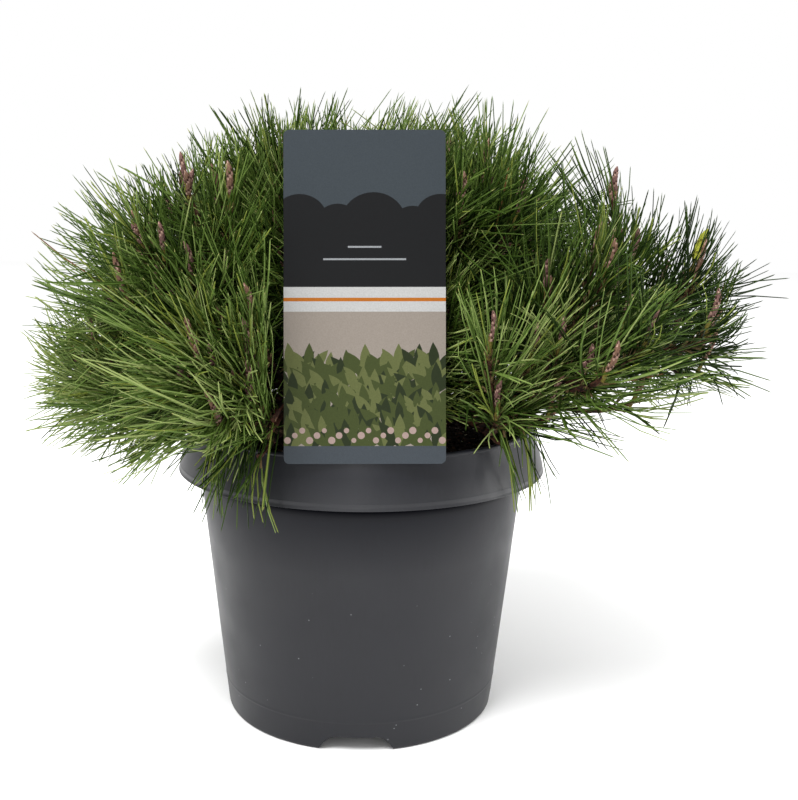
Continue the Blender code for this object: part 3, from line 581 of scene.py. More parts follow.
def pot_profile():
    skirt_slope = (SKIRT_RADIUS - RIM_TOP_RADIUS) / (POT_HEIGHT - SKIRT_BOTTOM)
    skirt_inner = SKIRT_RADIUS - POT_WALL
    crest = POT_HEIGHT - 0.0035
    ridge = body_radius(RIDGE_HEIGHT)
    bead = SKIRT_BOTTOM + 0.0032
    return rounded([
        (0.0, 0.0, 0.0),
        (CENTRE_FOOT_RADIUS, 0.0, 0.0008),
        (CENTRE_FOOT_RADIUS + 0.002, FLOOR_HEIGHT, 0.001),
        (BASE_RADIUS - FOOT_WIDTH - 0.0025, FLOOR_HEIGHT, 0.001),
        (BASE_RADIUS - FOOT_WIDTH, 0.0, 0.0005),
        (BASE_RADIUS - 0.0004, 0.0, 0.0009),
        (body_radius(0.0012), 0.0012, 0.0006),
        (body_radius(RIDGE_HEIGHT - 0.0008), RIDGE_HEIGHT - 0.0008, 0.0004),
        (ridge + 0.0002, RIDGE_HEIGHT, 0.0005),
        (body_radius(RIDGE_HEIGHT + 0.001), RIDGE_HEIGHT + 0.001, 0.0004),
        (body_radius(SKIRT_BOTTOM), SKIRT_BOTTOM, 0.0),
        (body_radius(crest), crest, 0.0008),
        (skirt_inner - skirt_slope * (crest - SKIRT_BOTTOM), crest, 0.0008),
        (skirt_inner, SKIRT_BOTTOM, 0.0004),
        (SKIRT_RADIUS + 0.0005, SKIRT_BOTTOM, 0.0004),
        (SKIRT_RADIUS + 0.0004, SKIRT_BOTTOM + 0.0004, 0.0003),
        (SKIRT_RADIUS, SKIRT_BOTTOM + 0.0014, 0.0006),
        (SKIRT_RADIUS - 0.0001, bead, 0.0003),
        (SKIRT_RADIUS - 0.0003, bead + 0.0005, 0.0003),
        (SKIRT_RADIUS - 0.0003 - skirt_slope * 0.003, bead + 0.003, 0.001),
        (RIM_TOP_RADIUS + 0.0002, POT_HEIGHT - 0.0018, 0.0003),
        (RIM_TOP_RADIUS + 0.0007, POT_HEIGHT - 0.0013, 0.0003),
        (RIM_TOP_RADIUS + 0.0003, POT_HEIGHT, 0.0007),
        (RIM_TOP_RADIUS - 0.0018, POT_HEIGHT, 0.0007),
        (inner_wall_radius(POT_HEIGHT), POT_HEIGHT - 0.002, 0.001),
        (inner_wall_radius(FLOOR_HEIGHT + 0.005), FLOOR_HEIGHT + 0.005, 0.001),
        (inner_wall_radius(FLOOR_HEIGHT) - 0.002, FLOOR_HEIGHT + POT_WALL, 0.001),
        (0.0, FLOOR_HEIGHT + POT_WALL, 0.0),
    ])


def prism(section, directions, near, far):
    """A closed prism of a (side, height) section between two distances along a direction."""
    outward, across = directions
    count = len(section)
    vertices = [outward * distance + across * side + UP * height
                for distance in (near, far) for side, height in section]
    return vertices, [tuple(range(count)), tuple(range(2 * count - 1, count - 1, -1))] + wall(count)


def notch_section():
    """Half of a notch's outline from the ground up, with a rounded upper corner, and its mirror."""
    half_top = NOTCH_TOP_WIDTH / 2.0
    half_bottom = NOTCH_BOTTOM_WIDTH / 2.0
    lean = (half_bottom - half_top) * 0.55
    half = rounded([(-half_bottom, -0.002, 0.0), (-half_bottom + 0.0015, 0.0008, 0.0012),
                    (-half_top - lean, NOTCH_HEIGHT * 0.45, 0.0012),
                    (-half_top, NOTCH_HEIGHT, 0.0026), (0.0, NOTCH_HEIGHT, 0.0)], steps=5)[:-1]
    return [tuple(point) for point in half] + [(-side, height) for side, height in reversed(half)]


def cut(piece, cutters):
    """Take the cutters out of a piece and apply it."""
    for vertices, faces in cutters:
        cutter = make_piece("cutter", vertices, faces, [])
        modifier = piece.modifiers.new("Cut", "BOOLEAN")
        modifier.operation = "DIFFERENCE"
        modifier.solver = "EXACT"
        modifier.object = cutter
        evaluated = piece.evaluated_get(bpy.context.evaluated_depsgraph_get())
        cut_mesh = bpy.data.meshes.new_from_object(evaluated)
        piece.modifiers.clear()
        piece.data = cut_mesh
        bpy.data.objects.remove(cutter, do_unlink=True)


def pot_plastic():
    """Dark plastic, clouded, with fine upright streaks, a few specks of dust low down, and painted shade
    just under the skirt.
    """
    colour = POT_COLOUR
    finish = Finish("anthracite_plastic", colour, 0.42, 0.33)
    streak = finish.ranged(finish.grain(0.0012, 4.0, (1.0, 1.0, 0.12)), 0.34, 0.66)
    cloud = finish.ranged(finish.grain(0.03, 3.0), 0.3, 0.7)
    fine = finish.mix(streak, shaded(colour, 0.88), shaded(colour, 1.14))
    toned = finish.mix(cloud, fine, shaded(colour, 1.12))
    cells = finish.node("ShaderNodeTexVoronoi", Vector=finish.place(), Scale=1.0 / DUST_SPACING)
    kinds = finish.node("ShaderNodeSeparateColor", Color=cells.outputs["Color"])
    dust = finish.mix(finish.ranged(kinds.outputs["Red"], 0.25, 0.3),
                      shaded(colour, 0.3), shaded(DUST_COLOUR, 1.0))
    small = finish.ranged(cells.outputs["Distance"], 0.062, 0.04)
    height = finish.node("ShaderNodeSeparateXYZ", Vector=finish.place()).outputs["Z"]
    speck = finish.math("MULTIPLY", small, finish.ranged(height, 0.095, 0.06))

    def by_height(first, last, low=0.0, high=1.0):
        """A value that changes between two heights, counted from the skirt's lower edge."""
        return finish.ranged(height, SKIRT_BOTTOM + first, SKIRT_BOTTOM + last, low, high)

    # Painted shade: the body's colour darkens just under the skirt's lower edge.
    under = finish.math("MULTIPLY", by_height(-0.009, -0.002, 0.0, 0.9), by_height(0.0, -0.0002))
    finish.paint(finish.mix(under, finish.mix(speck, toned, dust), shaded(colour, 0.2)))
    finish.gloss(finish.ranged(finish.grain(0.02, 3.0), 0.3, 0.7, 0.38, 0.47))
    finish.bump(finish.grain(0.0006, 2.0), 0.1, 0.0002)
    # Painted shade and highlight in the specular level: it drops just under the skirt, as painted shade, and
    # rises towards the skirt's lower edge, as a painted highlight.
    body = finish.math("MINIMUM", by_height(-0.036, -0.005, 0.32, 0.11),
                       by_height(-0.012, -0.0035, 0.33, 0.0))
    skirt = finish.math("MULTIPLY", by_height(0.0, 0.014, 0.46, 0.27), by_height(-0.0002, 0.0002))
    specular_with_painted_light = finish.math("MAXIMUM", body, skirt)
    finish.put(specular_with_painted_light, finish.surface.inputs["Specular IOR Level"])
    return finish.material


def make_pot():
    vertices, faces = lathe(pot_profile(), POT_SEGMENTS)
    pot = make_piece("nursery_pot", vertices, faces, [pot_plastic()])
    cutters = []
    for turn in around(NOTCH_COUNT):
        outward = heading(turn - pi / 2.0)
        between = heading(turn - pi / 2.0 + pi / NOTCH_COUNT)
        cutters.append(prism(notch_section(), (outward, UP.cross(outward)), *NOTCH_CUT))
        cutters.append(drain_hole(between * DRAIN_RING))
    cut(pot, cutters)
    pot.data.shade_smooth()
    pot.data.set_sharp_from_angle(angle=radians(32.0))
    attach(pot, "root")
    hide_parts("pot")


def drain_hole(centre):
    sides = 24
    vertices = [centre + heading(angle) * DRAIN_RADIUS + UP * height
                for height in (FLOOR_HEIGHT - 0.002, FLOOR_HEIGHT + POT_WALL + 0.002)
                for angle in around(sides)]
    return vertices, [tuple(range(sides))[::-1], tuple(range(sides, 2 * sides))] + band(0, sides, sides)


def soil_height(x, y):
    """Top of the soil: a low mound with lumps."""
    edge = inner_wall_radius(SOIL_EDGE)
    share = min(1.0, hypot(x, y) / edge)
    mound = SOIL_EDGE + (SOIL_MIDDLE - SOIL_EDGE) * (1.0 - share * share)
    lumps = sum(noise.noise(Vector((x, y, 4.0 * number)) * fineness) * part
                for number, (fineness, part) in enumerate(SOIL_LUMPS))
    return mound + lumps * SOIL_ROUGHNESS * min(1.0, 6.0 * (1.0 - share) + 0.4)


def soil_finish():
    finish = Finish("peat", (44, 32, 25), 0.95, 0.15)
    lump = finish.ranged(finish.grain(0.0022, 5.0), 0.34, 0.66)
    finish.paint(finish.mix(lump, shaded((26, 19, 15), 1.0), shaded((66, 49, 38), 1.0)))
    finish.bump(finish.grain(0.0011, 5.0), 0.9, 0.0009)
    return finish.material


def make_soil():
    bottom = FLOOR_HEIGHT + POT_WALL + CLEARANCE
    edge = inner_wall_radius(SOIL_EDGE) - CLEARANCE
    profile = [(0.0, bottom), (inner_wall_radius(FLOOR_HEIGHT) - 0.004, bottom),
               (inner_wall_radius(FLOOR_HEIGHT + 0.006) - CLEARANCE * 2.0, FLOOR_HEIGHT + 0.006)]
    profile += [(edge * (1.0 - ring / SOIL_RINGS), SOIL_EDGE) for ring in range(SOIL_RINGS + 1)]
    vertices, faces = lathe(profile, SOIL_SEGMENTS)
    vertices = [(x, y, soil_height(x, y)) if z >= SOIL_EDGE else (x, y, z) for x, y, z in vertices]
    soil = make_piece("peat_substrate", vertices, faces, [soil_finish()], smooth=60.0)
    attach(soil, "root")
    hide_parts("soil")


def chip_shape(centre, size, draw):
    """A split piece of bark: a box with every corner pulled about."""
    turn = Matrix.Rotation(draw.uniform(0.0, 2.0 * pi), 3, "Z")
    turn = turn @ Matrix.Rotation(draw.uniform(-0.5, 0.5), 3, "X")
    vertices = []
    for corner in itertools.product((-0.5, 0.5), repeat=3):
        stretched = Vector([side * length * draw.uniform(*CHIP_SPLIT)
                            for side, length in zip(corner, size)])
        vertices.append(centre + turn @ stretched)
    faces = [(0, 1, 3, 2), (4, 6, 7, 5), (0, 4, 5, 1), (2, 3, 7, 6), (0, 2, 6, 4), (1, 5, 7, 3)]
    return vertices, faces


def make_soil_chips():
    """Bark chips and pale grains strewn over the peat."""
    draw = random.Random(CROWN_SEED + 7)
    chips = Gathered()
    reach = inner_wall_radius(SOIL_EDGE) - CHIP_WALL_GAP
    for number in range(CHIP_COUNT + GRAIN_COUNT):
        distance = reach * sqrt(draw.random())
        angle = draw.uniform(0.0, 2.0 * pi)
        x, y = distance * cos(angle), distance * sin(angle)
        if distance < TRUNK_RADII[0] * 0.8:
            continue
        grain = number >= CHIP_COUNT
        length = draw.uniform(*(GRAIN_LENGTH if grain else CHIP_LENGTH))
        size = (length, length * draw.uniform(*CHIP_BREADTH), length * draw.uniform(*CHIP_DEPTH))
        centre = Vector((x, y, soil_height(x, y) + size[2] * 0.2))
        tint = 4 if grain else draw.choices((0, 1, 2, 3), CHIP_ODDS)[0]
        chips.add(*chip_shape(centre, size, draw), tint)
    materials = [mottled(name, colour, (0.6, 1.25), (0.85, 0.25), (0.001, 4.0, 0.3, 0.7),
                         (0.0005, 3.0, 0.6, 0.0004), (1.0, 1.0, 0.4))
                 for name, colour in CHIP_COLOURS.items()]
    piece = chips.piece("bark_chips", materials)
    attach(piece, "root")


def label_axes():
    """The card's own right, up and forward directions."""
    flat_up = Vector((0.0, sin(LABEL_LEAN), cos(LABEL_LEAN)))
    flat_right = Vector((1.0, 0.0, 0.0))
    right = flat_right * cos(LABEL_TILT) + flat_up * sin(LABEL_TILT)
    up = flat_up * cos(LABEL_TILT) - flat_right * sin(LABEL_TILT)
    return right, up, right.cross(up)


def card_outline(corner_steps=6):
    half = LABEL_WIDTH / 2.0
    outline = []
    for side, height, first in ((half, 0.0, -90.0), (half, LABEL_HEIGHT, 0.0),
                                (-half, LABEL_HEIGHT, 90.0), (-half, 0.0, 180.0)):
        centre_side = side - copysign(LABEL_CORNER, side)
        centre_height = LABEL_CORNER if height == 0.0 else height - LABEL_CORNER
        for step in range(corner_steps + 1):
            angle = radians(first + 90.0 * step / corner_steps)
            outline.append((centre_side + LABEL_CORNER * cos(angle),
                            centre_height + LABEL_CORNER * sin(angle)))
    return outline


def box_shape(left, right, low, high):
    return [(left, low), (right, low), (right, high), (left, high)]


def disc_shape(side, height, radius, squash, steps):
    return [(side + radius * cos(turn), height + radius * squash * sin(turn))
            for turn in around(steps)]


def leaf_shape(side, height, length, turn):
    """A pointed oval leaf that starts at a place and lies along a turn from upright."""
    along = (sin(turn), cos(turn))
    edge = []
    for sign in (1.0, -1.0):
        shares = [step / LEAF_STEPS for step in range(LEAF_STEPS + (sign > 0.0))]
        for share in shares if sign > 0.0 else [1.0 - item for item in shares]:
            wide = sign * length * LEAF_FULLNESS * sin(pi * share) * 0.5
            edge.append((side + along[0] * length * share + along[1] * wide,
                         height + along[1] * length * share - along[0] * wide))
    return edge


def label_print():
    """The card's printed areas as (colour name, outline), each over those before it."""
    half = LABEL_WIDTH / 2.0
    areas = [("slate", box_shape(-half, half, HILLS_HEIGHTS[1] - 0.0005, LABEL_HEIGHT))]
    areas += [("charcoal", disc_shape(*hill, HILL_SQUASH, 40)) for hill in HILLS]
    areas.append(("charcoal", box_shape(-half, half, *HILLS_HEIGHTS)))
    areas += [("pale_ink", box_shape(-width / 2.0, width / 2.0, low, low + INK_LINE_DEPTH))
              for low, width in INK_LINES]
    areas += [(name, box_shape(-half, half, *heights)) for name, heights in LABEL_FIELDS.items()]
    draw = random.Random(CROWN_SEED + 3)
    for row in range(LEAF_ROWS):
        count = LEAF_ROWS + row % 2
        for column in range(count):
            side = -half + LABEL_WIDTH * (column + 0.5) / count + draw.uniform(-LEAF_SHIFT, LEAF_SHIFT)
            height = LEAF_TOP - row * LEAF_ROW_STEP + draw.uniform(-LEAF_SHIFT, LEAF_SHIFT)
            length = draw.uniform(*LEAF_LENGTH)
            for turn in (-LEAF_TURN, 0.0, LEAF_TURN):
                name = draw.choice(("leaf_dark", "leaf_mid", "leaf_light", "leaf_mid"))
                areas.append((name, leaf_shape(side, height, length, turn + draw.uniform(-0.15, 0.15))))
    for number in range(BLOSSOMS):
        side = -half + LABEL_WIDTH * (number + 0.5) / BLOSSOMS
        height = BLOSSOM_LOW + BLOSSOM_STEP * (number % 3)
        areas.append(("blossom", disc_shape(side, height, draw.uniform(*BLOSSOM_RADIUS), 1.0, 12)))
    areas.append(("deep_slate", box_shape(-half, half, 0.0, LABEL_FIELDS["beige"][0])))
    return areas


def make_label():
    right, up, forward = label_axes()
    names = list(LABEL_COLOURS)
    outline = card_outline()
    count = len(outline)
    shapes = [("card", outline)] + label_print()
    flat = []
    polygons = []
    for _name, shape in shapes:
        polygons.append(list(range(len(flat), len(flat) + len(shape))))
        flat.extend(Vector(point) for point in shape)
    points, _edges, triangles, _points, _lines, sources = delaunay_2d_cdt(flat, [], polygons, 1, 1e-7)

    def on_card(side, height, depth):
        return LABEL_FOOT + right * side + up * height + forward * depth

    card = Gathered()
    front = LABEL_THICKNESS / 2.0
    kept = [(face, max(source)) for face, source in zip(triangles, sources) if 0 in source]
    card.add([on_card(*point, front) for point in points], [tuple(face) for face, _top in kept],
             [names.index(shapes[top][0]) for _face, top in kept])
    edge = [on_card(*point, -front) for point in outline] + [on_card(*point, front) for point in outline]
    card.add(edge, [tuple(range(count))[::-1]] + band(0, count, count), 0)
    card.add(*tongue(), names.index("charcoal"))
    materials = [mottled(f"print_{name}", colour, (LABEL_LIGHT * 0.94, LABEL_LIGHT * 1.06),
                         (0.42, 0.09), (0.0006, 2.0, 0.35, 0.65), (0.009, 2.0, 0.1, 0.0004))
                 for name, colour in LABEL_COLOURS.items()]
    label = card.piece("plant_label", materials)
    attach(label, "root")
    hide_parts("label")


def tongue():
    """The bent strip behind the card: over the rim's top, then down inside the wall."""
    under = POT_HEIGHT + CLEARANCE
    top = under + LABEL_THICKNESS
    card_depth = LABEL_FOOT.y + (top - LABEL_FOOT.z) * tan(LABEL_LEAN)
    inner = TONGUE_FROM_WALL - inner_wall_radius(POT_HEIGHT)
    foot = POT_HEIGHT - TONGUE_DEPTH
    outer_line = [(card_depth, top), (inner, top), (inner + 0.0008, foot)]
    bend = rounded([(*point, 0.0018) for point in outer_line], steps=5)
    inner_line = [(card_depth, under), (inner - LABEL_THICKNESS, under),
                  (inner - LABEL_THICKNESS + 0.0008, foot)]
    under_bend = rounded([(*point, 0.0012) for point in inner_line], steps=5)
    section = bend + under_bend[::-1]
    count = len(section)
    left = LABEL_FOOT.x - TONGUE_WIDTH / 2.0
    vertices = [Vector((left + width, depth, height))
                for width in (0.0, TONGUE_WIDTH) for depth, height in section]
    faces = []
    for step in range(len(bend) - 1):
        far = count - 1 - step
        faces.append((step, step + 1, far - 1, far))
        faces.append((far + count, far - 1 + count, step + 1 + count, step + count))
    return vertices, faces + wall(count)


def trunk_axis(share):
    return TRUNK_FOOT.lerp(TRUNK_TOP, share) + TRUNK_BOW * sin(pi * share)


def trunk_radius(share):
    return float(np.interp(share, TRUNK_HEIGHTS, TRUNK_RADII))


def frontness(azimuth):
    return np.maximum(0.0, -np.sin(azimuth)) ** 2


def crown_reach(azimuth, elevation):
    """How far the needles go from the crown's centre in one or many directions."""
    degrees, reaches = zip(*DOME_PROFILE)
    reach = np.interp(np.degrees(elevation), degrees, reaches)
    sideways = (np.arctan2(np.sin(azimuth), np.cos(azimuth)) / RIGHT_LOBE_SPREAD[0]) ** 2
    upward = ((elevation - RIGHT_LOBE_ELEVATION) / RIGHT_LOBE_SPREAD[1]) ** 2
    reach = reach + RIGHT_LOBE_EXTRA * np.exp(-(sideways + upward) / 2.0)
    return reach - FRONT_SHORTER * frontness(azimuth) * np.cos(elevation)


def label_distance(direction):
    """Distance from the crown's centre to the card's plane, or a long way past its edges."""
    right, up, forward = label_axes()
    facing = direction.dot(forward)
    if facing <= 0.0:
        return 1.0
    distance = (LABEL_FOOT - CROWN_CENTRE).dot(forward) / facing
    offset = CROWN_CENTRE + direction * distance - LABEL_FOOT
    beside = abs(offset.dot(right)) > LABEL_WIDTH / 2.0 + LABEL_MARGIN
    above = offset.dot(up) > LABEL_HEIGHT + LABEL_MARGIN
    return 1.0 if beside or above else distance


def mass_plan():
    """Direction and reach of every mass, on a jittered golden-angle spiral down the dome."""
    draw = random.Random(CROWN_SEED)
    plan = []
    for index in range(SPIRAL_MASSES):
        azimuth = SPIRAL_START + index * GOLDEN_ANGLE
        lowest = sin(LOWEST_ELEVATION + FRONT_LIFT * frontness(azimuth))
        share = (index + 0.5) / SPIRAL_MASSES
        elevation = asin(1.0 - share * (1.0 - lowest))
        elevation += draw.uniform(-1.0, 1.0) * DIRECTION_JITTER
        azimuth += draw.uniform(-1.0, 1.0) * DIRECTION_JITTER / max(0.3, cos(elevation))
        direction = heading(azimuth, elevation)
        reach = float(crown_reach(azimuth, elevation)) * draw.uniform(*REACH_JITTER)
        plan.append((direction, min(reach, label_distance(direction) - LABEL_STANDOFF)))
    for azimuth, elevation, reach in RIM_TUFTS:
        plan.append((heading(radians(azimuth), radians(elevation)), reach))
    return plan


def bezier(start, first, second, end, share):
    rest = 1.0 - share
    return (start * rest ** 3 + first * 3.0 * rest ** 2 * share
            + second * 3.0 * rest * share ** 2 + end * share ** 3)


class Limb:
    """One limb from the trunk to the bud of its mass's leading shoot."""

    def __init__(self, index, plan):
        self.index = index
        self.direction, self.reach = plan[index]
        lowness = sorted((item[0].z, number) for number, item in enumerate(plan))
        place = [number for _height, number in lowness].index(index) / (len(plan) - 1)
        self.share_up = TRUNK_ATTACHMENTS[0] + (TRUNK_ATTACHMENTS[1] - TRUNK_ATTACHMENTS[0]) * place
        self.azimuth = atan2(self.direction.y, self.direction.x)
        self.is_leader = place == 1.0
        self.route()

    def route(self):
        """Work out the limb's curve from where it leaves the trunk."""
        elevation = asin(self.direction.z)
        level = heading(self.azimuth, 0.0)
        if self.is_leader:
            self.start = trunk_axis(1.0) + UP * CLEARANCE
            leave = UP
        else:
            rise = min(max(elevation * 0.75, LEAVING_RISE[0]), LEAVING_RISE[1])
            leave = heading(self.azimuth, rise)
            under = self.share_up - BOUGH_RADII[0] / (TRUNK_TOP.z - TRUNK_FOOT.z)
            outside = trunk_radius(under) + CLEARANCE
            self.start = trunk_axis(self.share_up) + level * outside
        self.bud = CROWN_CENTRE + self.direction * (self.reach - BUD_BELOW_REACH)
        span = (self.bud - self.start).length
        over_rim = UP * max(0.0, RIM_PASSING_ELEVATION - elevation) * RIM_PASSING_LIFT
        upturn = UPTURN if elevation > 0.0 else LOW_UPTURN
        arrive = (self.direction + UP * upturn).normalized()
        self.first = self.start + leave * span * HANDLE_SHARE + over_rim
        self.second = self.bud - arrive * span * HANDLE_SHARE + over_rim
        self.cut = self.find_cut()

    def point(self, share):
        return bezier(self.start, self.first, self.second, self.bud, share)

    def past_cut(self, share):
        """The place at a share of what lies beyond the bough's cut end."""
        return self.cut + (1.0 - self.cut) * share

    def tangent(self, share):
        step = 0.004
        return (self.point(min(1.0, share + step)) - self.point(max(0.0, share - step))).normalized()

    def find_cut(self):
        share = 0.2
        while (self.point(share) - CROWN_CENTRE).length < self.reach * BOUGH_SHARE:
            share += 0.005
        return share

    def bough_samples(self):
        """Points along the bough with its radius at each."""
        thick, thin = BOUGH_RADII
        steps = BOUGH_SAMPLES - 1
        return [(self.point(self.cut * step / steps), thick + (thin - thick) * step / steps)
                for step in range(BOUGH_SAMPLES)]

    def gap_to(self, other):
        """Least distance between the two boughs' surfaces."""
        return min((point - near).length - radius - near_radius
                   for point, radius in self.bough_samples()
                   for near, near_radius in other.bough_samples())


def separate_boughs(limbs):
    """Slide the boughs' feet up, down and round the trunk until all of them pass clear."""
    lowest, highest = TRUNK_ATTACHMENTS
    for _round in range(60):
        crowded = False
        for first, second in itertools.combinations(limbs, 2):
            apart = first.direction.angle(second.direction) > BOUGH_NEIGHBOURS
            if apart or first.gap_to(second) > BOUGH_GAP:
                continue
            crowded = True
            lower, upper = sorted((first, second), key=lambda limb: limb.share_up)
            turn = sin(upper.azimuth - lower.azimuth)
            for limb, side in ((lower, -1.0), (upper, 1.0)):
                limb.share_up = min(max(limb.share_up + side * FOOT_SLIDE, lowest), highest)
                limb.azimuth += side * copysign(FOOT_SWING, turn)
                limb.route()
        if not crowded:
            return


def beside(limb, turn):
    """The direction square to the limb's own, at a turn about it."""
    across = limb.direction.orthogonal().normalized()
    return across * cos(turn) + limb.direction.cross(across) * sin(turn)


def branch(limb, fork, turn, spread, reach, upturn=UPTURN, handle=HANDLE_SHARE, rise=0.0):
    """Control points of a shoot that leaves the limb at a fork and bends up to its bud."""
    sideways = beside(limb, turn)
    aim = (limb.direction * cos(spread) + sideways * sin(spread)).normalized()
    bud = CROWN_CENTRE + aim * (limb.reach - BUD_BELOW_REACH) * reach
    fork_share = limb.past_cut(fork)
    start = limb.point(fork_share)
    span = (bud - start).length
    arrive = (aim + UP * upturn + sideways * 0.1).normalized()
    leave = (limb.tangent(fork_share) + sideways * FORK_OPENING + UP * rise).normalized()
    return start, start + leave * span * HANDLE_SHARE, bud - arrive * span * handle, bud


def side_shoots(limb):
    """The source's side shoots, from the same draws in the same order."""
    draw = random.Random(CROWN_SEED * 100 + limb.index)
    for number in range(SHOOTS_AROUND):
        turn = 2.0 * pi * (number + draw.uniform(-0.15, 0.15)) / SHOOTS_AROUND
        turn += limb.index * GOLDEN_ANGLE
        spread = SHOOT_SPREAD * draw.uniform(0.85, 1.15)
        reach = draw.uniform(*SIDE_SHOOT_REACH)
        yield branch(limb, FIRST_FORK + FORK_STEP * number, turn, spread, reach)


def finer_shoots(limb):
    """Thinner shoots between the source's, forking further out and turning up more."""
    draw = random.Random(CROWN_SEED * 1000 + limb.index)
    upturn = float(np.interp(asin(limb.direction.z), UPTURN_ELEVATIONS, FINER_UPTURN))
    count = AIRY_SHOOTS if limb.index in AIRY_MASSES else FINER_SHOOTS
    for number in range(count):
        turn = 2.0 * pi * (number + draw.uniform(0.2, 0.8)) / count
        turn += limb.index * GOLDEN_ANGLE
        yield branch(limb, draw.uniform(*FINER_FORKS), turn, draw.uniform(*FINER_SPREAD),
                     draw.uniform(*FINER_REACH), upturn, FINER_HANDLE, upturn * FINER_RISE)


def inner_shoots(limb):
    """Short shoots on the outer half of the bough and the start of its mass."""
    draw = random.Random(CROWN_SEED * 5000 + limb.index)
    for number in range(INNER_SHOOTS):
        share = limb.cut * draw.uniform(*INNER_PLACES)
        turn = 2.0 * pi * (number + draw.uniform(0.2, 0.8)) / INNER_SHOOTS
        sideways = beside(limb, turn)
        start = limb.point(share)
        leave = (limb.tangent(share) + sideways).normalized()
        arrive = (limb.direction * 0.5 + sideways * 0.6 + UP * 0.8).normalized()
        length = draw.uniform(*INNER_LENGTH)
        middle = start + leave * length * 0.5
        arm = arrive * length
        yield start, start + leave * length * 0.3, middle + arm * 0.2, middle + arm * 0.5


def hanging_shoots(limb):
    """Shoots of a tuft over the rim, which clear the rim's top and end just outside it."""
    draw = random.Random(CROWN_SEED * 3000 + limb.index)
    tuft = limb.index - SPIRAL_MASSES
    for _number in range(HANGING_SHOOTS[tuft]):
        outward = heading(radians(draw.uniform(*HANGING_ARCS[tuft])), 0.0)
        bud = outward * draw.uniform(*HANGING_BUD) + UP * draw.uniform(*HANGING_HEIGHT)
        start = limb.point(limb.past_cut(draw.uniform(0.0, 0.4)))
        span = (bud - start).length
        leave = (outward + UP * 1.2).normalized()
        yield start, start + leave * span * 0.45, bud - (outward - UP * 0.2) * span * 0.35, bud


def rising_shoots(limb):
    """Shoots that stand up beside the label, from the limbs of the two tufts over the rim."""
    draw = random.Random(CROWN_SEED * 6000 + limb.index)
    for number in range(RISING_SHOOTS):
        azimuth = atan2(limb.direction.y, limb.direction.x) + draw.uniform(-1.0, 1.0) * RISING_SWING
        aim = heading(azimuth, draw.uniform(*RISING_ELEVATION))
        bud = CROWN_CENTRE + aim * draw.uniform(*RISING_REACH)
        fork = limb.past_cut(draw.uniform(0.0, 0.6))
        start = limb.point(fork)
        span = (bud - start).length
        leave = (limb.tangent(fork) + UP * 0.7).normalized()
        arrive = (aim + UP * 2.0).normalized()
        yield start, start + leave * span * 0.3, bud - arrive * span * 0.5, bud


def lengths_along(points):
    return np.concatenate(([0.0], np.cumsum(np.linalg.norm(np.diff(points, axis=0), axis=1))))


def even_steps(points, step):
    """The same line with points a step apart."""
    points = np.array([tuple(point) for point in points])
    lengths = lengths_along(points)
    count = max(4, int(round(lengths[-1] / step)) + 1)
    places = np.linspace(0.0, lengths[-1], count)
    return np.stack([np.interp(places, lengths, points[:, axis]) for axis in range(3)], axis=1)


def unit(vectors):
    return vectors / np.maximum(np.linalg.norm(vectors, axis=-1, keepdims=True), 1e-9)


class Shoot:
    """A twig from its fork to the foot of its candle, with what it bears."""

    def __init__(self, limb, line, rank, draw):
        self.mass = limb.index
        self.rank = rank
        points = even_steps(line, SHOOT_STEP / 3.0)
        lengths = lengths_along(points)
        self.candle_zone = min(draw.uniform(*CANDLE_ZONE), lengths[-1] * 0.25)
        self.droop = 1.0 if limb.index >= SPIRAL_MASSES and rank < 2 else 0.0  # hangs over the rim
        kept = lengths <= min(lengths[-1] - self.candle_zone, lengths[-1] * (1.0 - 0.06 * self.droop))
        if self.droop == 0.0:
            kept &= (np.cumsum(under_edge(points)) == 0) | (lengths < lengths[-1] * LEAST_LEFT)
        self.points = even_steps(points[kept], SHOOT_STEP)
        self.length = float(lengths[kept][-1])
        self.tip = self.points[-1]
        self.end_direction = unit(points[-1] - self.points[-1])
        self.slack = draw.uniform(*TIP_SLACK)
        self.tint = draw.gauss(0.0, TONE_SPREAD) + self.painted_light_tone(limb)

    def painted_light_tone(self, limb):
        """Where its green lies between the darkest and the lightest, as painted light and shade: lighter in
        front, at the left and low at the sides, darker at the far right and on top.
        """
        if self.rank == 3:
            return INNER_TONE
        if limb.index >= SPIRAL_MASSES:
            return TUFT_TONES[int(self.droop)]
        x, y, z = self.tip
        right, left = max(0.0, x), max(0.0, -x)
        rise, width, slope, square = RIGHT_TONES
        toned = TONE + rise * min(1.0, right / width) + slope * right + square * right * right
        toned += FRONT_TONE * max(0.0, -y) + TOP_TONE[1] * max(0.0, z - TOP_TONE[0]) + LEFT_TONE * left
        low = min(1.0, max(0.0, (LOW_BAND[0] - z) / LOW_BAND[1]))
        return toned + low * sum(rise * min(1.0, side / width)
                                 for side, (rise, width) in zip((right, left), LOW_TONES))


def grow_shoots(limbs):
    shoots = []
    for limb in limbs:
        draw = random.Random(CROWN_SEED * 7000 + limb.index)
        stem = [limb.point(limb.cut + (1.0 - limb.cut) * step / STEM_SAMPLES)
                for step in range(STEM_SAMPLES + 1)]
        shoots.append(Shoot(limb, stem, 0, draw))
        rules = (side_shoots, finer_shoots, inner_shoots)
        if limb.index >= SPIRAL_MASSES:
            rules = (hanging_shoots, rising_shoots)
        for rank, rule in enumerate(rules, 1):
            for controls in rule(limb):
                line = [bezier(*controls, step / SHOOT_SAMPLES) for step in range(SHOOT_SAMPLES + 1)]
                shoots.append(Shoot(limb, line, rank, draw))
    return shoots


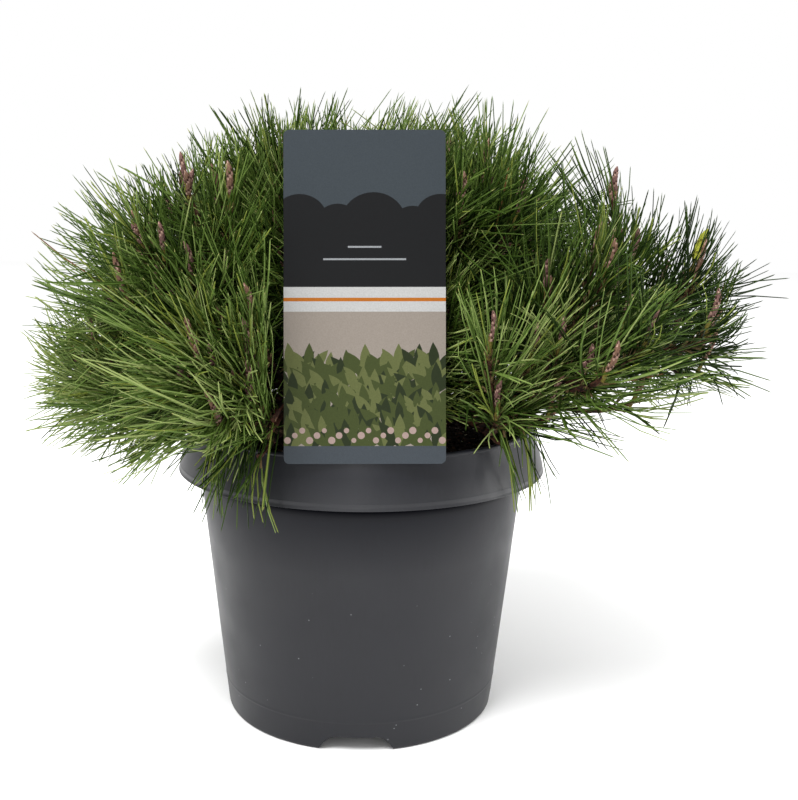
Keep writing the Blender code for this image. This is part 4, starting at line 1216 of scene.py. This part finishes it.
def ring_frames(points):
    """Tangent and two cross directions at each point of a line, carried along without twist."""
    tangents = unit(np.gradient(points, axis=0))
    across = np.zeros_like(points)
    start = np.cross(tangents[0], (0.0, 0.0, 1.0))
    if np.linalg.norm(start) < 0.1:
        start = np.cross(tangents[0], (1.0, 0.0, 0.0))
    across[0] = unit(start)
    for index in range(1, len(points)):
        carried = across[index - 1] - tangents[index] * np.dot(across[index - 1], tangents[index])
        across[index] = unit(carried)
    return tangents, across, np.cross(tangents, across)


def tube(points, radii):
    """A closed tube; radii holds one radius for each ring and side."""
    count, sides = radii.shape
    _tangents, across, third = ring_frames(points)
    angles = 2.0 * np.pi * np.arange(sides) / sides
    circle = (across[:, None, :] * np.cos(angles)[None, :, None]
              + third[:, None, :] * np.sin(angles)[None, :, None])
    vertices = (points[:, None, :] + circle * radii[:, :, None]).reshape(-1, 3).tolist()
    faces = [tuple(range(sides))[::-1]]
    for low in range(0, (count - 1) * sides, sides):
        faces += band(low, low + sides, sides)
    return vertices, faces + [tuple(range((count - 1) * sides, count * sides))]


def plate_relief(point, size):
    """Height of bark between -1, in a crack, and 1, on a scaly plate."""
    place = Vector(point)
    warped = place + noise.noise_vector(place / (size * PLATE_WARP[0])) * size * PLATE_WARP[1]
    stretched = Vector((warped.x, warped.y, warped.z * PLATE_STRETCH)) / size
    distances, _places = noise.voronoi(stretched)
    crack = min(1.0, (distances[1] - distances[0]) * CRACK_SLOPE)
    return crack * 1.6 - 0.8 + noise.noise(place / (size * PLATE_GRAIN[0])) * PLATE_GRAIN[1]


def make_wood(limbs):
    """Trunk and boughs with the relief of scaly bark."""
    noise.seed_set(CROWN_SEED)
    wood = Gathered()
    shares = np.linspace(0.0, 1.0, TRUNK_RINGS)
    points = np.array([tuple(trunk_axis(share)) for share in shares])
    angles = 2.0 * np.pi * np.arange(TRUNK_SIDES) / TRUNK_SIDES
    arms = [np.array((cos(angle), sin(angle), 0.0)) for angle in angles]
    radii = np.zeros((TRUNK_RINGS, TRUNK_SIDES))
    heights = np.zeros((TRUNK_RINGS, TRUNK_SIDES))
    for ring, share in enumerate(shares):
        flare = 1.0 + ROOT_FLARE * np.cos(ROOT_COUNT * angles) * (1.0 - share) ** 6
        close = min(1.0, TRUNK_END[0] * (1.0 - share) + TRUNK_END[1])
        for side, arm in enumerate(arms):
            radius = trunk_radius(share) * flare[side]
            heights[ring, side] = plate_relief(points[ring] + radius * arm, TRUNK_PLATES[0])
            radii[ring, side] = radius * close + heights[ring, side] * TRUNK_PLATES[1]
    level = [points[ring] + arm * radii[ring, side]
             for ring in range(TRUNK_RINGS) for side, arm in enumerate(arms)]
    level = [tuple(np.maximum(spot, (-1.0, -1.0, TRUNK_FOOT.z))) for spot in level]
    _tube, faces = tube(points, radii)
    wood.add(level, faces, bark_tints(heights))
    for limb in limbs:
        wood.add(*bough_shape(limb))
    finishes = [mottled(name, colour, (0.7, light), (0.88, 0.2), (0.003, 5.0, 0.32, 0.68),
                        (0.0009, 4.0, 0.7, 0.0006), (1.0, 1.0, 0.45))
                for name, (colour, light) in WOOD_COLOURS.items()]
    piece = wood.piece("trunk_and_boughs", finishes, smooth=70.0)
    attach(piece, "root")
    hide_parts("trunk", *(f"bough_{limb.index + 1:02d}" for limb in limbs))


def bark_tints(heights):
    """Material numbers of a tube's faces: cracks are darker than plates."""
    turned = np.roll(heights, -1, axis=1)
    mean = (heights[:-1] + heights[1:] + turned[:-1] + turned[1:]) / 4.0
    return [0] + [int(value < CRACK_DEPTH) for value in mean.reshape(-1)] + [0]


def bough_shape(limb):
    """One bough, with a collar where it grows out of the trunk and scaly bark."""
    inside = limb.start - limb.tangent(0.0) * 0.003
    line = [inside] + [limb.point(limb.cut * step / 30.0 + 0.01 * (step == 30)) for step in range(31)]
    points = even_steps(line, BOUGH_STEP)
    places = np.linspace(0.0, 1.0, len(points))
    thick, thin = BOUGH_RADII
    collar = 1.0 + BOUGH_COLLAR[0] * np.exp(-((places * len(points) * BOUGH_STEP) / BOUGH_COLLAR[1]) ** 2)
    radii = (thick + (thin - thick) * places) * collar
    _tangents, across, third = ring_frames(points)
    heights = np.zeros((len(points), BOUGH_SIDES))
    for ring, side in itertools.product(range(len(points)), range(BOUGH_SIDES)):
        angle = 2.0 * pi * side / BOUGH_SIDES
        arm = across[ring] * cos(angle) + third[ring] * sin(angle)
        heights[ring, side] = plate_relief(points[ring] + arm * radii[ring], BOUGH_PLATES[0])
    vertices, faces = tube(points, radii[:, None] + heights * BOUGH_PLATES[1])
    return vertices, faces, bark_tints(heights)


def make_twigs(shoots):
    """Shoots with rough leaf cushions, darker where older."""
    rng = np.random.default_rng(CROWN_SEED + 1)
    twigs = Gathered()
    for shoot in shoots:
        count = len(shoot.points)
        places = np.linspace(0.0, 1.0, count)
        thick = LEADER_RADIUS if shoot.rank == 0 else TWIG_RADII[0]
        radii = thick + (TWIG_RADII[1] - thick) * np.minimum(1.0, places * 2.0)
        rough = rng.uniform(-1.0, 1.0, (count, TWIG_SIDES)) * TWIG_ROUGHNESS
        vertices, faces = tube(shoot.points, radii[:, None] + rough)
        picks = rng.random((count - 1, TWIG_SIDES))
        age = np.repeat(places[:-1, None], TWIG_SIDES, axis=1)
        brown, red, dark, pale = range(len(TWIG_COLOURS))
        older = np.where(picks > DARK_FROM[0] + DARK_FROM[1] * age, dark, brown)
        tints = np.where(picks < RED_SHARE[0] + RED_SHARE[1] * age ** 3, red, older)
        tints = np.where(picks < PALE_SHARE, pale, tints)
        twigs.add(vertices, faces, [brown] + tints.reshape(-1).tolist() + [red])
    finishes = [mottled(name, colour, (0.55, 1.3), (0.78, 0.1), (0.0012, 4.0, 0.32, 0.68),
                        (0.0006, 3.0, 0.6, 0.0004)) for name, colour in TWIG_COLOURS.items()]
    piece = twigs.piece("twigs", finishes, smooth=70.0)
    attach(piece, "root")


class Needles:
    """Every pair of needles as arrays, kept where both fit in the crown."""

    def __init__(self, shoots):
        rng = np.random.default_rng(CROWN_SEED + 2)
        rows = [self.pairs_of(shoot, number, rng) for number, shoot in enumerate(shoots)]
        (self.root, self.along, self.outward, self.back, self.shoot,
         self.slack, self.droop) = (np.concatenate(column) for column in zip(*rows))
        self.settle(rng)

    def pairs_of(self, shoot, number, rng):
        """Roots of the pairs on one shoot, turned by the golden angle, from its tip back."""
        needled = min(NEEDLED_LENGTH, shoot.length * NEEDLED_SHARE)
        young = min(YOUNG_LENGTH, needled * YOUNG_MOST)
        step = PAIR_STEP * (1.0 + HANGING_THINNER * shoot.droop)
        back = np.concatenate((np.arange(0.0006, young, step),
                               np.arange(young, needled, OLD_PAIR_STEP)))
        count = len(back)
        back = np.maximum(0.0, back + rng.uniform(-0.3, 0.3, count) * step)
        tangents, across, third = ring_frames(shoot.points)
        steps = np.linspace(shoot.length, 0.0, len(shoot.points))[::-1]
        place = shoot.length - np.clip(back, 0.0, shoot.length)

        def at(values):
            return np.stack([np.interp(place, steps, values[:, axis]) for axis in range(3)], axis=1)

        along = unit(at(tangents))
        turn = np.arange(count) * GOLDEN_ANGLE + rng.uniform(-0.25, 0.25, count) + number
        outward = at(across) * np.cos(turn)[:, None] + at(third) * np.sin(turn)[:, None]
        outward = unit(outward - along * np.sum(outward * along, axis=1)[:, None])
        root = at(shoot.points) + outward * TWIG_RADII[1] * 0.7
        return (root, along, outward, back / NEEDLED_LENGTH, np.full(count, number),
                np.full(count, shoot.slack), np.full(count, shoot.droop))

    def settle(self, rng):
        """Lean, bend and length of each needle; a pair that fits nowhere is left out."""
        count = len(self.root)
        lean = FRONT_LEAN + (BACK_LEAN - FRONT_LEAN) * self.back ** LEAN_CURVE
        lean = np.clip(lean + rng.normal(0.0, LEAN_SCATTER, count), *LEAN_RANGE)
        length = NEEDLE_LENGTH * np.clip(rng.normal(1.0, LENGTH_SCATTER, count), *LENGTH_RANGE)
        shoot_count = int(self.shoot.max()) + 1
        own_scale = rng.normal(1.0, SHOOT_SCATTER, shoot_count)
        length *= np.clip(own_scale, *SHOOT_RANGE)[self.shoot]
        length *= np.where(self.back < YOUNG_BACK, YOUNG_SHARE, 1.0)
        length *= np.where(self.droop > 0.0, HANGING_LENGTH, 1.0)
        inward = rng.uniform(*INWARD_BEND, count)
        skew = rng.normal(0.0, SKEW_BEND, (count, 2))
        swing = rng.normal(0.0, SHOOT_BEND, (shoot_count, 3))[self.shoot]
        opening = rng.uniform(*PAIR_OPENING, count)
        spin = rng.uniform(0.0, np.pi, count)
        sides = np.cross(self.along, self.outward)
        height = np.clip((self.root[:, 2] - BEND_HEIGHTS[0]) / (BEND_HEIGHTS[1] - BEND_HEIGHTS[0]), 0.0, 1.0)
        share = 0.5 * rng.random(count) + 0.5 * rng.random(shoot_count)[self.shoot]
        lift = np.zeros(count)
        for end, weight in enumerate((1.0 - share, share)):
            lift += weight * (LOW_BEND[end] + (RISING_BEND[end] - LOW_BEND[end]) * height)
        lift = np.where(self.droop > 0.0, rng.uniform(*DROOPING_BEND, count), lift)
        pull = self.droop * HANGING * rng.uniform(LEAST_HANGING, 1.0, count)
        up = np.array(UP)
        bend = (self.along * inward[:, None] + sides * skew[:, :1] + self.outward * skew[:, 1:]
                + swing + up * lift[:, None])
        done = np.zeros(count, dtype=bool)
        self.aims = np.zeros((2, count, 3))
        for factor in LEAN_TRIES:
            angle = np.clip(lean * factor, *TRIED_RANGE)[:, None]
            aim = unit(self.along * np.cos(angle) + self.outward * np.sin(angle) - up * pull[:, None])
            partner = unit(np.cross(aim, sides)) * np.sin(spin)[:, None] + sides * np.cos(spin)[:, None]
            pair = [unit(aim + partner * (np.tan(opening) * sign)[:, None]) for sign in (1.0, -1.0)]
            fits = ~done
            for one in pair:
                fits &= self.fits(one, bend, length)
            for side in range(2):
                self.aims[side][fits] = pair[side][fits]
            done |= fits
        self.full = np.bincount(self.shoot[done], minlength=shoot_count) / np.bincount(self.shoot)
        aside = np.interp(self.root[:, 0], AIRY_SIDE, (0.0, AIRY_SHARE))
        done &= rng.random(count) >= aside * np.interp(self.root[:, 2], AIRY_HEIGHT, (1.0, 0.0))
        self.bend = bend[done]
        self.length = length[done]
        self.aims = self.aims[:, done]
        for name in ("root", "along", "outward", "back", "shoot"):
            setattr(self, name, getattr(self, name)[done])

    def fits(self, aim, bend, length):
        """Whether curved needles end in the crown, clear of pot, soil and label."""
        good = np.ones(len(aim), dtype=bool)
        for share in np.linspace(1.0 / FIT_STEPS, 1.0, FIT_STEPS):
            spots = self.root + (aim * share + bend * share ** 2 / 2.0) * length[:, None]
            good &= clear_of_pot(spots) & clear_of_label(spots)
        offset = spots - np.array(CROWN_CENTRE)
        distance = np.linalg.norm(offset, axis=1)
        azimuth = np.arctan2(offset[:, 1], offset[:, 0])
        elevation = np.arcsin(offset[:, 2] / distance)
        seen = np.degrees(np.arctan2(offset[:, 2], offset[:, 0]))
        trim = np.minimum(self.slack + np.interp(seen, *zip(*SILHOUETTE)), MOST_TRIM)
        reach = crown_reach(azimuth, elevation) * trim
        within = distance < np.where(self.droop > 0.0, np.maximum(reach, HANGING_REACH), reach)
        outward = from_axis(spots)
        lowest = edge_height(spots)
        too_far = (outward > HANGING_REACH) & (self.droop > 0.0)
        lowest = np.where(too_far, np.maximum(lowest, HANGING_LIMIT), lowest)
        window = in_window(spots) & (self.droop == 0.0)
        above_soil = WINDOW_HEIGHTS[1] - 0.1 * np.maximum(0.0, outward - RIM_LINE)
        lowest = np.where(window, np.maximum(lowest, above_soil), lowest)
        side_limit = LEFT_LIMIT[0] + LEFT_LIMIT[1] * np.maximum(0.0, -spots[:, 1])
        good &= within & (spots[:, 0] > side_limit)
        return good & ((spots[:, 2] > lowest) | ((outward < RIM_LINE) & ~window))


def from_axis(spots):
    return np.hypot(spots[:, 0], spots[:, 1])


def edge_height(spots):
    """Height of the crown's lower edge outside the rim, above or below the given places."""
    degrees = np.degrees(np.arctan2(spots[:, 1], spots[:, 0]))
    turns, heights, rises = zip(*LOWER_EDGE)
    rise = np.interp(degrees, turns, rises) * np.maximum(0.0, from_axis(spots) - EDGE_START)
    return np.interp(degrees, turns, heights) + rise


def under_edge(spots):
    """True outside the rim where a shoot would run under the crown's lower edge."""
    lowest = edge_height(spots)
    lowest = np.where(in_window(spots), np.maximum(lowest, WINDOW_HEIGHTS[0]), lowest)
    return (from_axis(spots) > SKIRT_RADIUS) & (spots[:, 2] < lowest + EDGE_MARGIN)


def in_window(spots):
    return (spots[:, 0] > SOIL_WINDOW[0]) & (spots[:, 1] < SOIL_WINDOW[1])


def clear_of_pot(spots):
    outward = from_axis(spots)
    inside = (outward < inner_wall_radius(SOIL_EDGE) - 0.003) & (spots[:, 2] > SOIL_MIDDLE + POT_GAP)
    return (outward > SKIRT_RADIUS + POT_GAP) | inside | (spots[:, 2] > POT_HEIGHT + POT_GAP)


def clear_of_label(spots):
    """True behind the card's plane, past its edges, or under it."""
    right, up, forward = (np.array(axis) for axis in label_axes())
    offset = spots - np.array(LABEL_FOOT)
    behind = offset @ forward < -LABEL_GAP
    beside = np.abs(offset @ right) > LABEL_WIDTH / 2.0 + LABEL_GAP
    height = offset @ up
    return behind | beside | (height > LABEL_HEIGHT + LABEL_GAP) | (height < -LABEL_GAP)


def swept(root, aim, bend, length, width, flatness, stations, facing, pointed):
    """Vertices of three-sided bent blades, three for each station of each blade."""
    rows = []
    for share, scale in stations:
        centre = root + (aim * share + bend * share ** 2 / 2.0) * length[:, None]
        tangent = unit(aim + bend * share)
        side = unit(np.cross(tangent, facing))
        outer = np.cross(side, tangent)
        half = (width * scale / 2.0)[:, None]
        rows += [centre + side * half - outer * half * flatness * 0.5,
                 centre + outer * half * flatness * 1.2,
                 centre - side * half - outer * half * flatness * 0.5]
    if pointed:
        rows.append(root + (aim + bend / 2.0) * length[:, None])
    return np.stack(rows, axis=1)


def blade_faces(station_count, pointed):
    """Faces of one blade of swept(), sides first."""
    last = (station_count - 1) * 3
    faces = [(2, 1, 0)]
    for low in range(0, last, 3):
        faces += band(low, low + 3, 3)
    if pointed:
        return faces + [(last + side, last + (side + 1) % 3, last + 3) for side in range(3)]
    return faces + [(last, last + 1, last + 2)]


def blades_to_mesh(blades, pattern):
    """Vertices and faces of many equal blades."""
    count, size, _axes = blades.shape
    faces = [tuple(base + corner for corner in face)
             for base in range(0, count * size, size) for face in pattern]
    return blades.reshape(-1, 3).tolist(), faces


def needle_finishes():
    finishes = []
    for number, colour in enumerate(GREENS):
        gloss = GREEN_GLOSS[0] + (GREEN_GLOSS[1] - GREEN_GLOSS[0]) * number / (len(GREENS) - 1)
        finishes.append(Finish(f"needle_green_{number + 1}", colour, GREEN_ROUGHNESS, gloss).material)
    return finishes + [Finish(*other).material for other in OTHER_NEEDLES]


def needle_tints(needles, shoots, rng):
    """One green for each needle: about its shoot's, deeper on the older wood, a few dead."""
    own = np.array([shoot.tint for shoot in shoots])[needles.shoot]
    tints = []
    for _side in range(2):
        varied = own + FRESH_TONE - OLD_TONE * needles.back + rng.normal(0.0, NEEDLE_SPREAD, len(own))
        tint = np.clip(np.round(varied), 0, len(GREENS) - 1).astype(int)
        dead = rng.random(len(own)) < DEAD_SHARE * 2.0 * needles.back
        young = (needles.back < YOUNG_BACK) & (rng.random(len(own)) < YOUNG_YELLOW)
        tints.append(np.where(dead, len(GREENS) + 1, np.where(young, len(GREENS) + 2, tint)))
    return tints


def make_needles(needles, shoots):
    rng = np.random.default_rng(CROWN_SEED + 3)
    finishes = needle_finishes()
    pattern = blade_faces(len(NEEDLE_STATIONS), True)
    tints = needle_tints(needles, shoots, rng)
    width = NEEDLE_WIDTH * rng.uniform(0.85, 1.15, len(needles.root))
    masses = np.array([shoot.mass for shoot in shoots])[needles.shoot]
    tip_green = len(GREENS)
    mass_count = SPIRAL_MASSES + len(RIM_TUFTS)
    for piece_number in range(NEEDLE_PIECES):
        first = piece_number * mass_count // NEEDLE_PIECES
        last = (piece_number + 1) * mass_count // NEEDLE_PIECES
        chosen = (masses >= first) & (masses < last)
        blades, colours = [], []
        for side in range(2):
            facing = needles.aims[1 - side][chosen] - needles.aims[side][chosen]
            blades.append(swept(needles.root[chosen], needles.aims[side][chosen], needles.bend[chosen],
                                needles.length[chosen], width[chosen], NEEDLE_FLATNESS,
                                NEEDLE_STATIONS, -facing, True))
            colours.append(tints[side][chosen])
        vertices, faces = blades_to_mesh(np.concatenate(blades), pattern)
        colour = np.concatenate(colours)
        shade = np.repeat(colour[:, None], len(pattern), axis=1)
        green = colour < tip_green
        lighter = np.where(green, np.minimum(colour + 1, tip_green - 1), colour)
        upper = rng.random(len(colour)) < UPPER_SHARE
        # Painted shade at each needle's root and painted light on its outer third and tip, one green apart.
        shade[:, ROOT_FACES] = np.where(green, np.maximum(colour - 1, 0), colour)[:, None]
        shade[:, OUTER_FACES] = np.where(upper, lighter, colour)[:, None]
        yellow = (rng.random(len(colour)) < TIP_SHARE) & (colour >= TIPPED_GREENS) & (colour < tip_green)
        shade[:, TIP_FACES] = np.where(yellow, tip_green, lighter)[:, None]
        name = f"needles_{piece_number + 1}"
        piece = make_piece(name, vertices, faces, finishes, shade.reshape(-1), smooth=180.0)
        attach(piece, "root")
        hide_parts(*(f"mass_{index + 1:02d}" for index in range(first, last)))


def make_sheaths(needles):
    """The short papery sheath that holds each pair, where the shoot isn't old."""
    chosen = needles.back < OLDEST_SHEATH
    aim = unit(needles.aims[0] + needles.aims[1])[chosen]
    count = int(chosen.sum())
    facing = needles.outward[chosen] + needles.along[chosen] * 0.3
    blades = swept(needles.root[chosen], aim, needles.bend[chosen] * 0.1, np.full(count, SHEATH_LENGTH),
                   np.full(count, SHEATH_WIDTH), 1.0, ((0.0, 0.8), (1.0, 1.0)), facing, False)
    vertices, faces = blades_to_mesh(blades, blade_faces(2, False))
    finish = Finish("sheath", (82, 68, 42), 0.8, 0.15)
    piece = make_piece("needle_sheaths", vertices, faces, [finish.material], smooth=180.0)
    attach(piece, "root")


def candle_shape(foot, direction, length, radius, rng):
    """A candle: a blunt rod wound with overlapping scales, and for each face its place on a scale."""
    shares = np.linspace(0.0, 1.0, CANDLE_RINGS)
    swell = 1.0 - ((shares - CANDLE_SWELL[0]) / CANDLE_SWELL[1]) ** 4
    swell = np.sqrt(np.clip(swell, 0.02, 1.0)) * (0.78 + 0.25 * (shares < 0.9))
    ring, side = np.meshgrid(np.arange(CANDLE_RINGS), np.arange(CANDLE_SIDES), indexing="ij")
    radii = radius * swell[:, None] * np.where((ring + side) % 2 == 0, *SCALE_RELIEF)
    bow = unit(np.cross(direction, rng.normal(0.0, 1.0, 3))) * length * 0.09
    points = foot + direction * (shares * length)[:, None] + bow * np.sin(np.pi * shares)[:, None]
    vertices, faces = tube(points, radii)
    return vertices, faces, ((ring * 3 + side * 2) % 5)[:-1].reshape(-1)


def make_candles(shoots):
    """Candles on a short new stem at the shoots' ends, some of them in twos and threes."""
    rng = np.random.default_rng(CROWN_SEED + 4)
    candles = Gathered()
    purple, brown, groove, green, green_groove, new_stem, scale_edge = range(len(CANDLE_COLOURS))
    for shoot in shoots:
        if shoot.tip[2] < LOWEST_CANDLE or shoot.droop > 0.0 or shoot.rank == 3:
            continue
        up_blend = unit(shoot.end_direction + np.array((0.0, 0.0, 0.9)))
        lobe = shoot.mass == LOBE_BUD_MASS and shoot.rank == 0
        count = 1 if lobe else int(rng.choice((1, 2, 3), p=CANDLE_ODDS))
        stem = shoot.candle_zone * 0.25 + (LOBE_BUD_LIFT if lobe else rng.uniform(*CANDLE_LIFT))
        for number in range(count):
            aside = unit(np.cross(up_blend, rng.normal(0.0, 1.0, 3)))
            direction = unit(up_blend + aside * (0.0 if number == 0 else rng.uniform(*ASIDE_TURN)))
            length = shoot.candle_zone * rng.uniform(*CANDLE_STRETCH) * (1.0 if number == 0 else ASIDE_SHARE)
            radius = CANDLE_RADIUS * rng.uniform(*CANDLE_GIRTH)
            if lobe:
                length, radius = LOBE_BUD_SIZE
            foot = shoot.tip + direction * (stem if number == 0 else 0.0)
            vertices, faces, scale = candle_shape(foot, direction, length, radius, rng)
            pale = green if lobe else (purple, brown)[rng.integers(0, 2)]
            between = green_groove if lobe else groove
            edge = green if lobe else scale_edge
            scales = np.where(scale == 3, between, np.where(scale == 0, edge, pale))
            tints = [pale] + scales.tolist() + [pale]
            candles.add(vertices, faces, tints)
        points = np.array([shoot.tip - up_blend * 0.002 + up_blend * (stem + 0.004) * share
                           for share in STEM_PLACES])
        candles.add(*tube(points, np.full((len(STEM_PLACES), TWIG_SIDES), CANDLE_STEM)), new_stem)
    finishes = [mottled(name, colour, (0.72, 1.3), (0.7, 0.12), (0.0006, 3.0, 0.32, 0.68),
                        (0.0004, 2.0, 0.4, 0.0003)) for name, colour in CANDLE_COLOURS.items()]
    piece = candles.piece("candles", finishes, smooth=28.0)
    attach(piece, "root")


def make_floor():
    finish = Finish("studio_floor", FLOOR_COLOUR, 0.9, 0.0)
    corners = [(side * FLOOR_HALF, depth * FLOOR_HALF, -FLOOR_DEPTH)
               for side, depth in ((-1.0, -1.0), (1.0, -1.0), (1.0, 1.0), (-1.0, 1.0))]
    make_piece("floor", corners, [(0, 1, 2, 3)], [finish.material])


def add_light(name, place, target, size, power):
    lamp = bpy.data.lights.new(name, "AREA")
    lamp.shape = "DISK"
    lamp.size = size
    lamp.energy = power
    holder = bpy.data.objects.new(name, lamp)
    holder.location = place
    holder.rotation_euler = (Vector(target) - Vector(place)).to_track_quat("-Z", "Y").to_euler()
    bpy.context.scene.collection.objects.link(holder)


def make_studio():
    world = bpy.data.worlds.new("studio")
    world.use_nodes = True
    world.node_tree.nodes["Background"].inputs["Color"].default_value = (1.0, 1.0, 1.0, 1.0)
    world.node_tree.nodes["Background"].inputs["Strength"].default_value = 1.0
    bpy.context.scene.world = world
    for light in LIGHTS:
        add_light(*light)
    bpy.context.scene.view_settings.view_transform = "Standard"


def make_camera():
    data = bpy.data.cameras.new("camera")
    data.sensor_width = SENSOR
    data.lens = SENSOR * FOCAL_PIXELS / IMAGE_HEIGHT
    data.clip_start = 0.02
    camera = bpy.data.objects.new("camera", data)
    turned = (Matrix.Rotation(-CAMERA_YAW, 4, "Z") @ Matrix.Rotation(pi / 2.0 - CAMERA_PITCH, 4, "X")
              @ Matrix.Rotation(CAMERA_ROLL, 4, "Z"))
    camera.matrix_world = Matrix.Translation(CAMERA_PLACE) @ turned
    bpy.context.scene.collection.objects.link(camera)
    bpy.context.scene.camera = camera


def make_plant():
    plan = mass_plan()
    limbs = [Limb(index, plan) for index in range(len(plan))]
    separate_boughs(limbs)
    shoots = grow_shoots(limbs)
    full = Needles(shoots).full
    shoots = [shoot for shoot, share in zip(shoots, full)
              if shoot.rank == 0 or shoot.droop > 0.0 or share > LEAST_NEEDLED]
    needles = Needles(shoots)
    make_wood(limbs)
    make_twigs(shoots)
    make_needles(needles, shoots)
    make_sheaths(needles)
    make_candles(shoots)


make_camera()
make_studio()
make_floor()
make_pot()
make_soil()
make_soil_chips()
make_label()
make_plant()
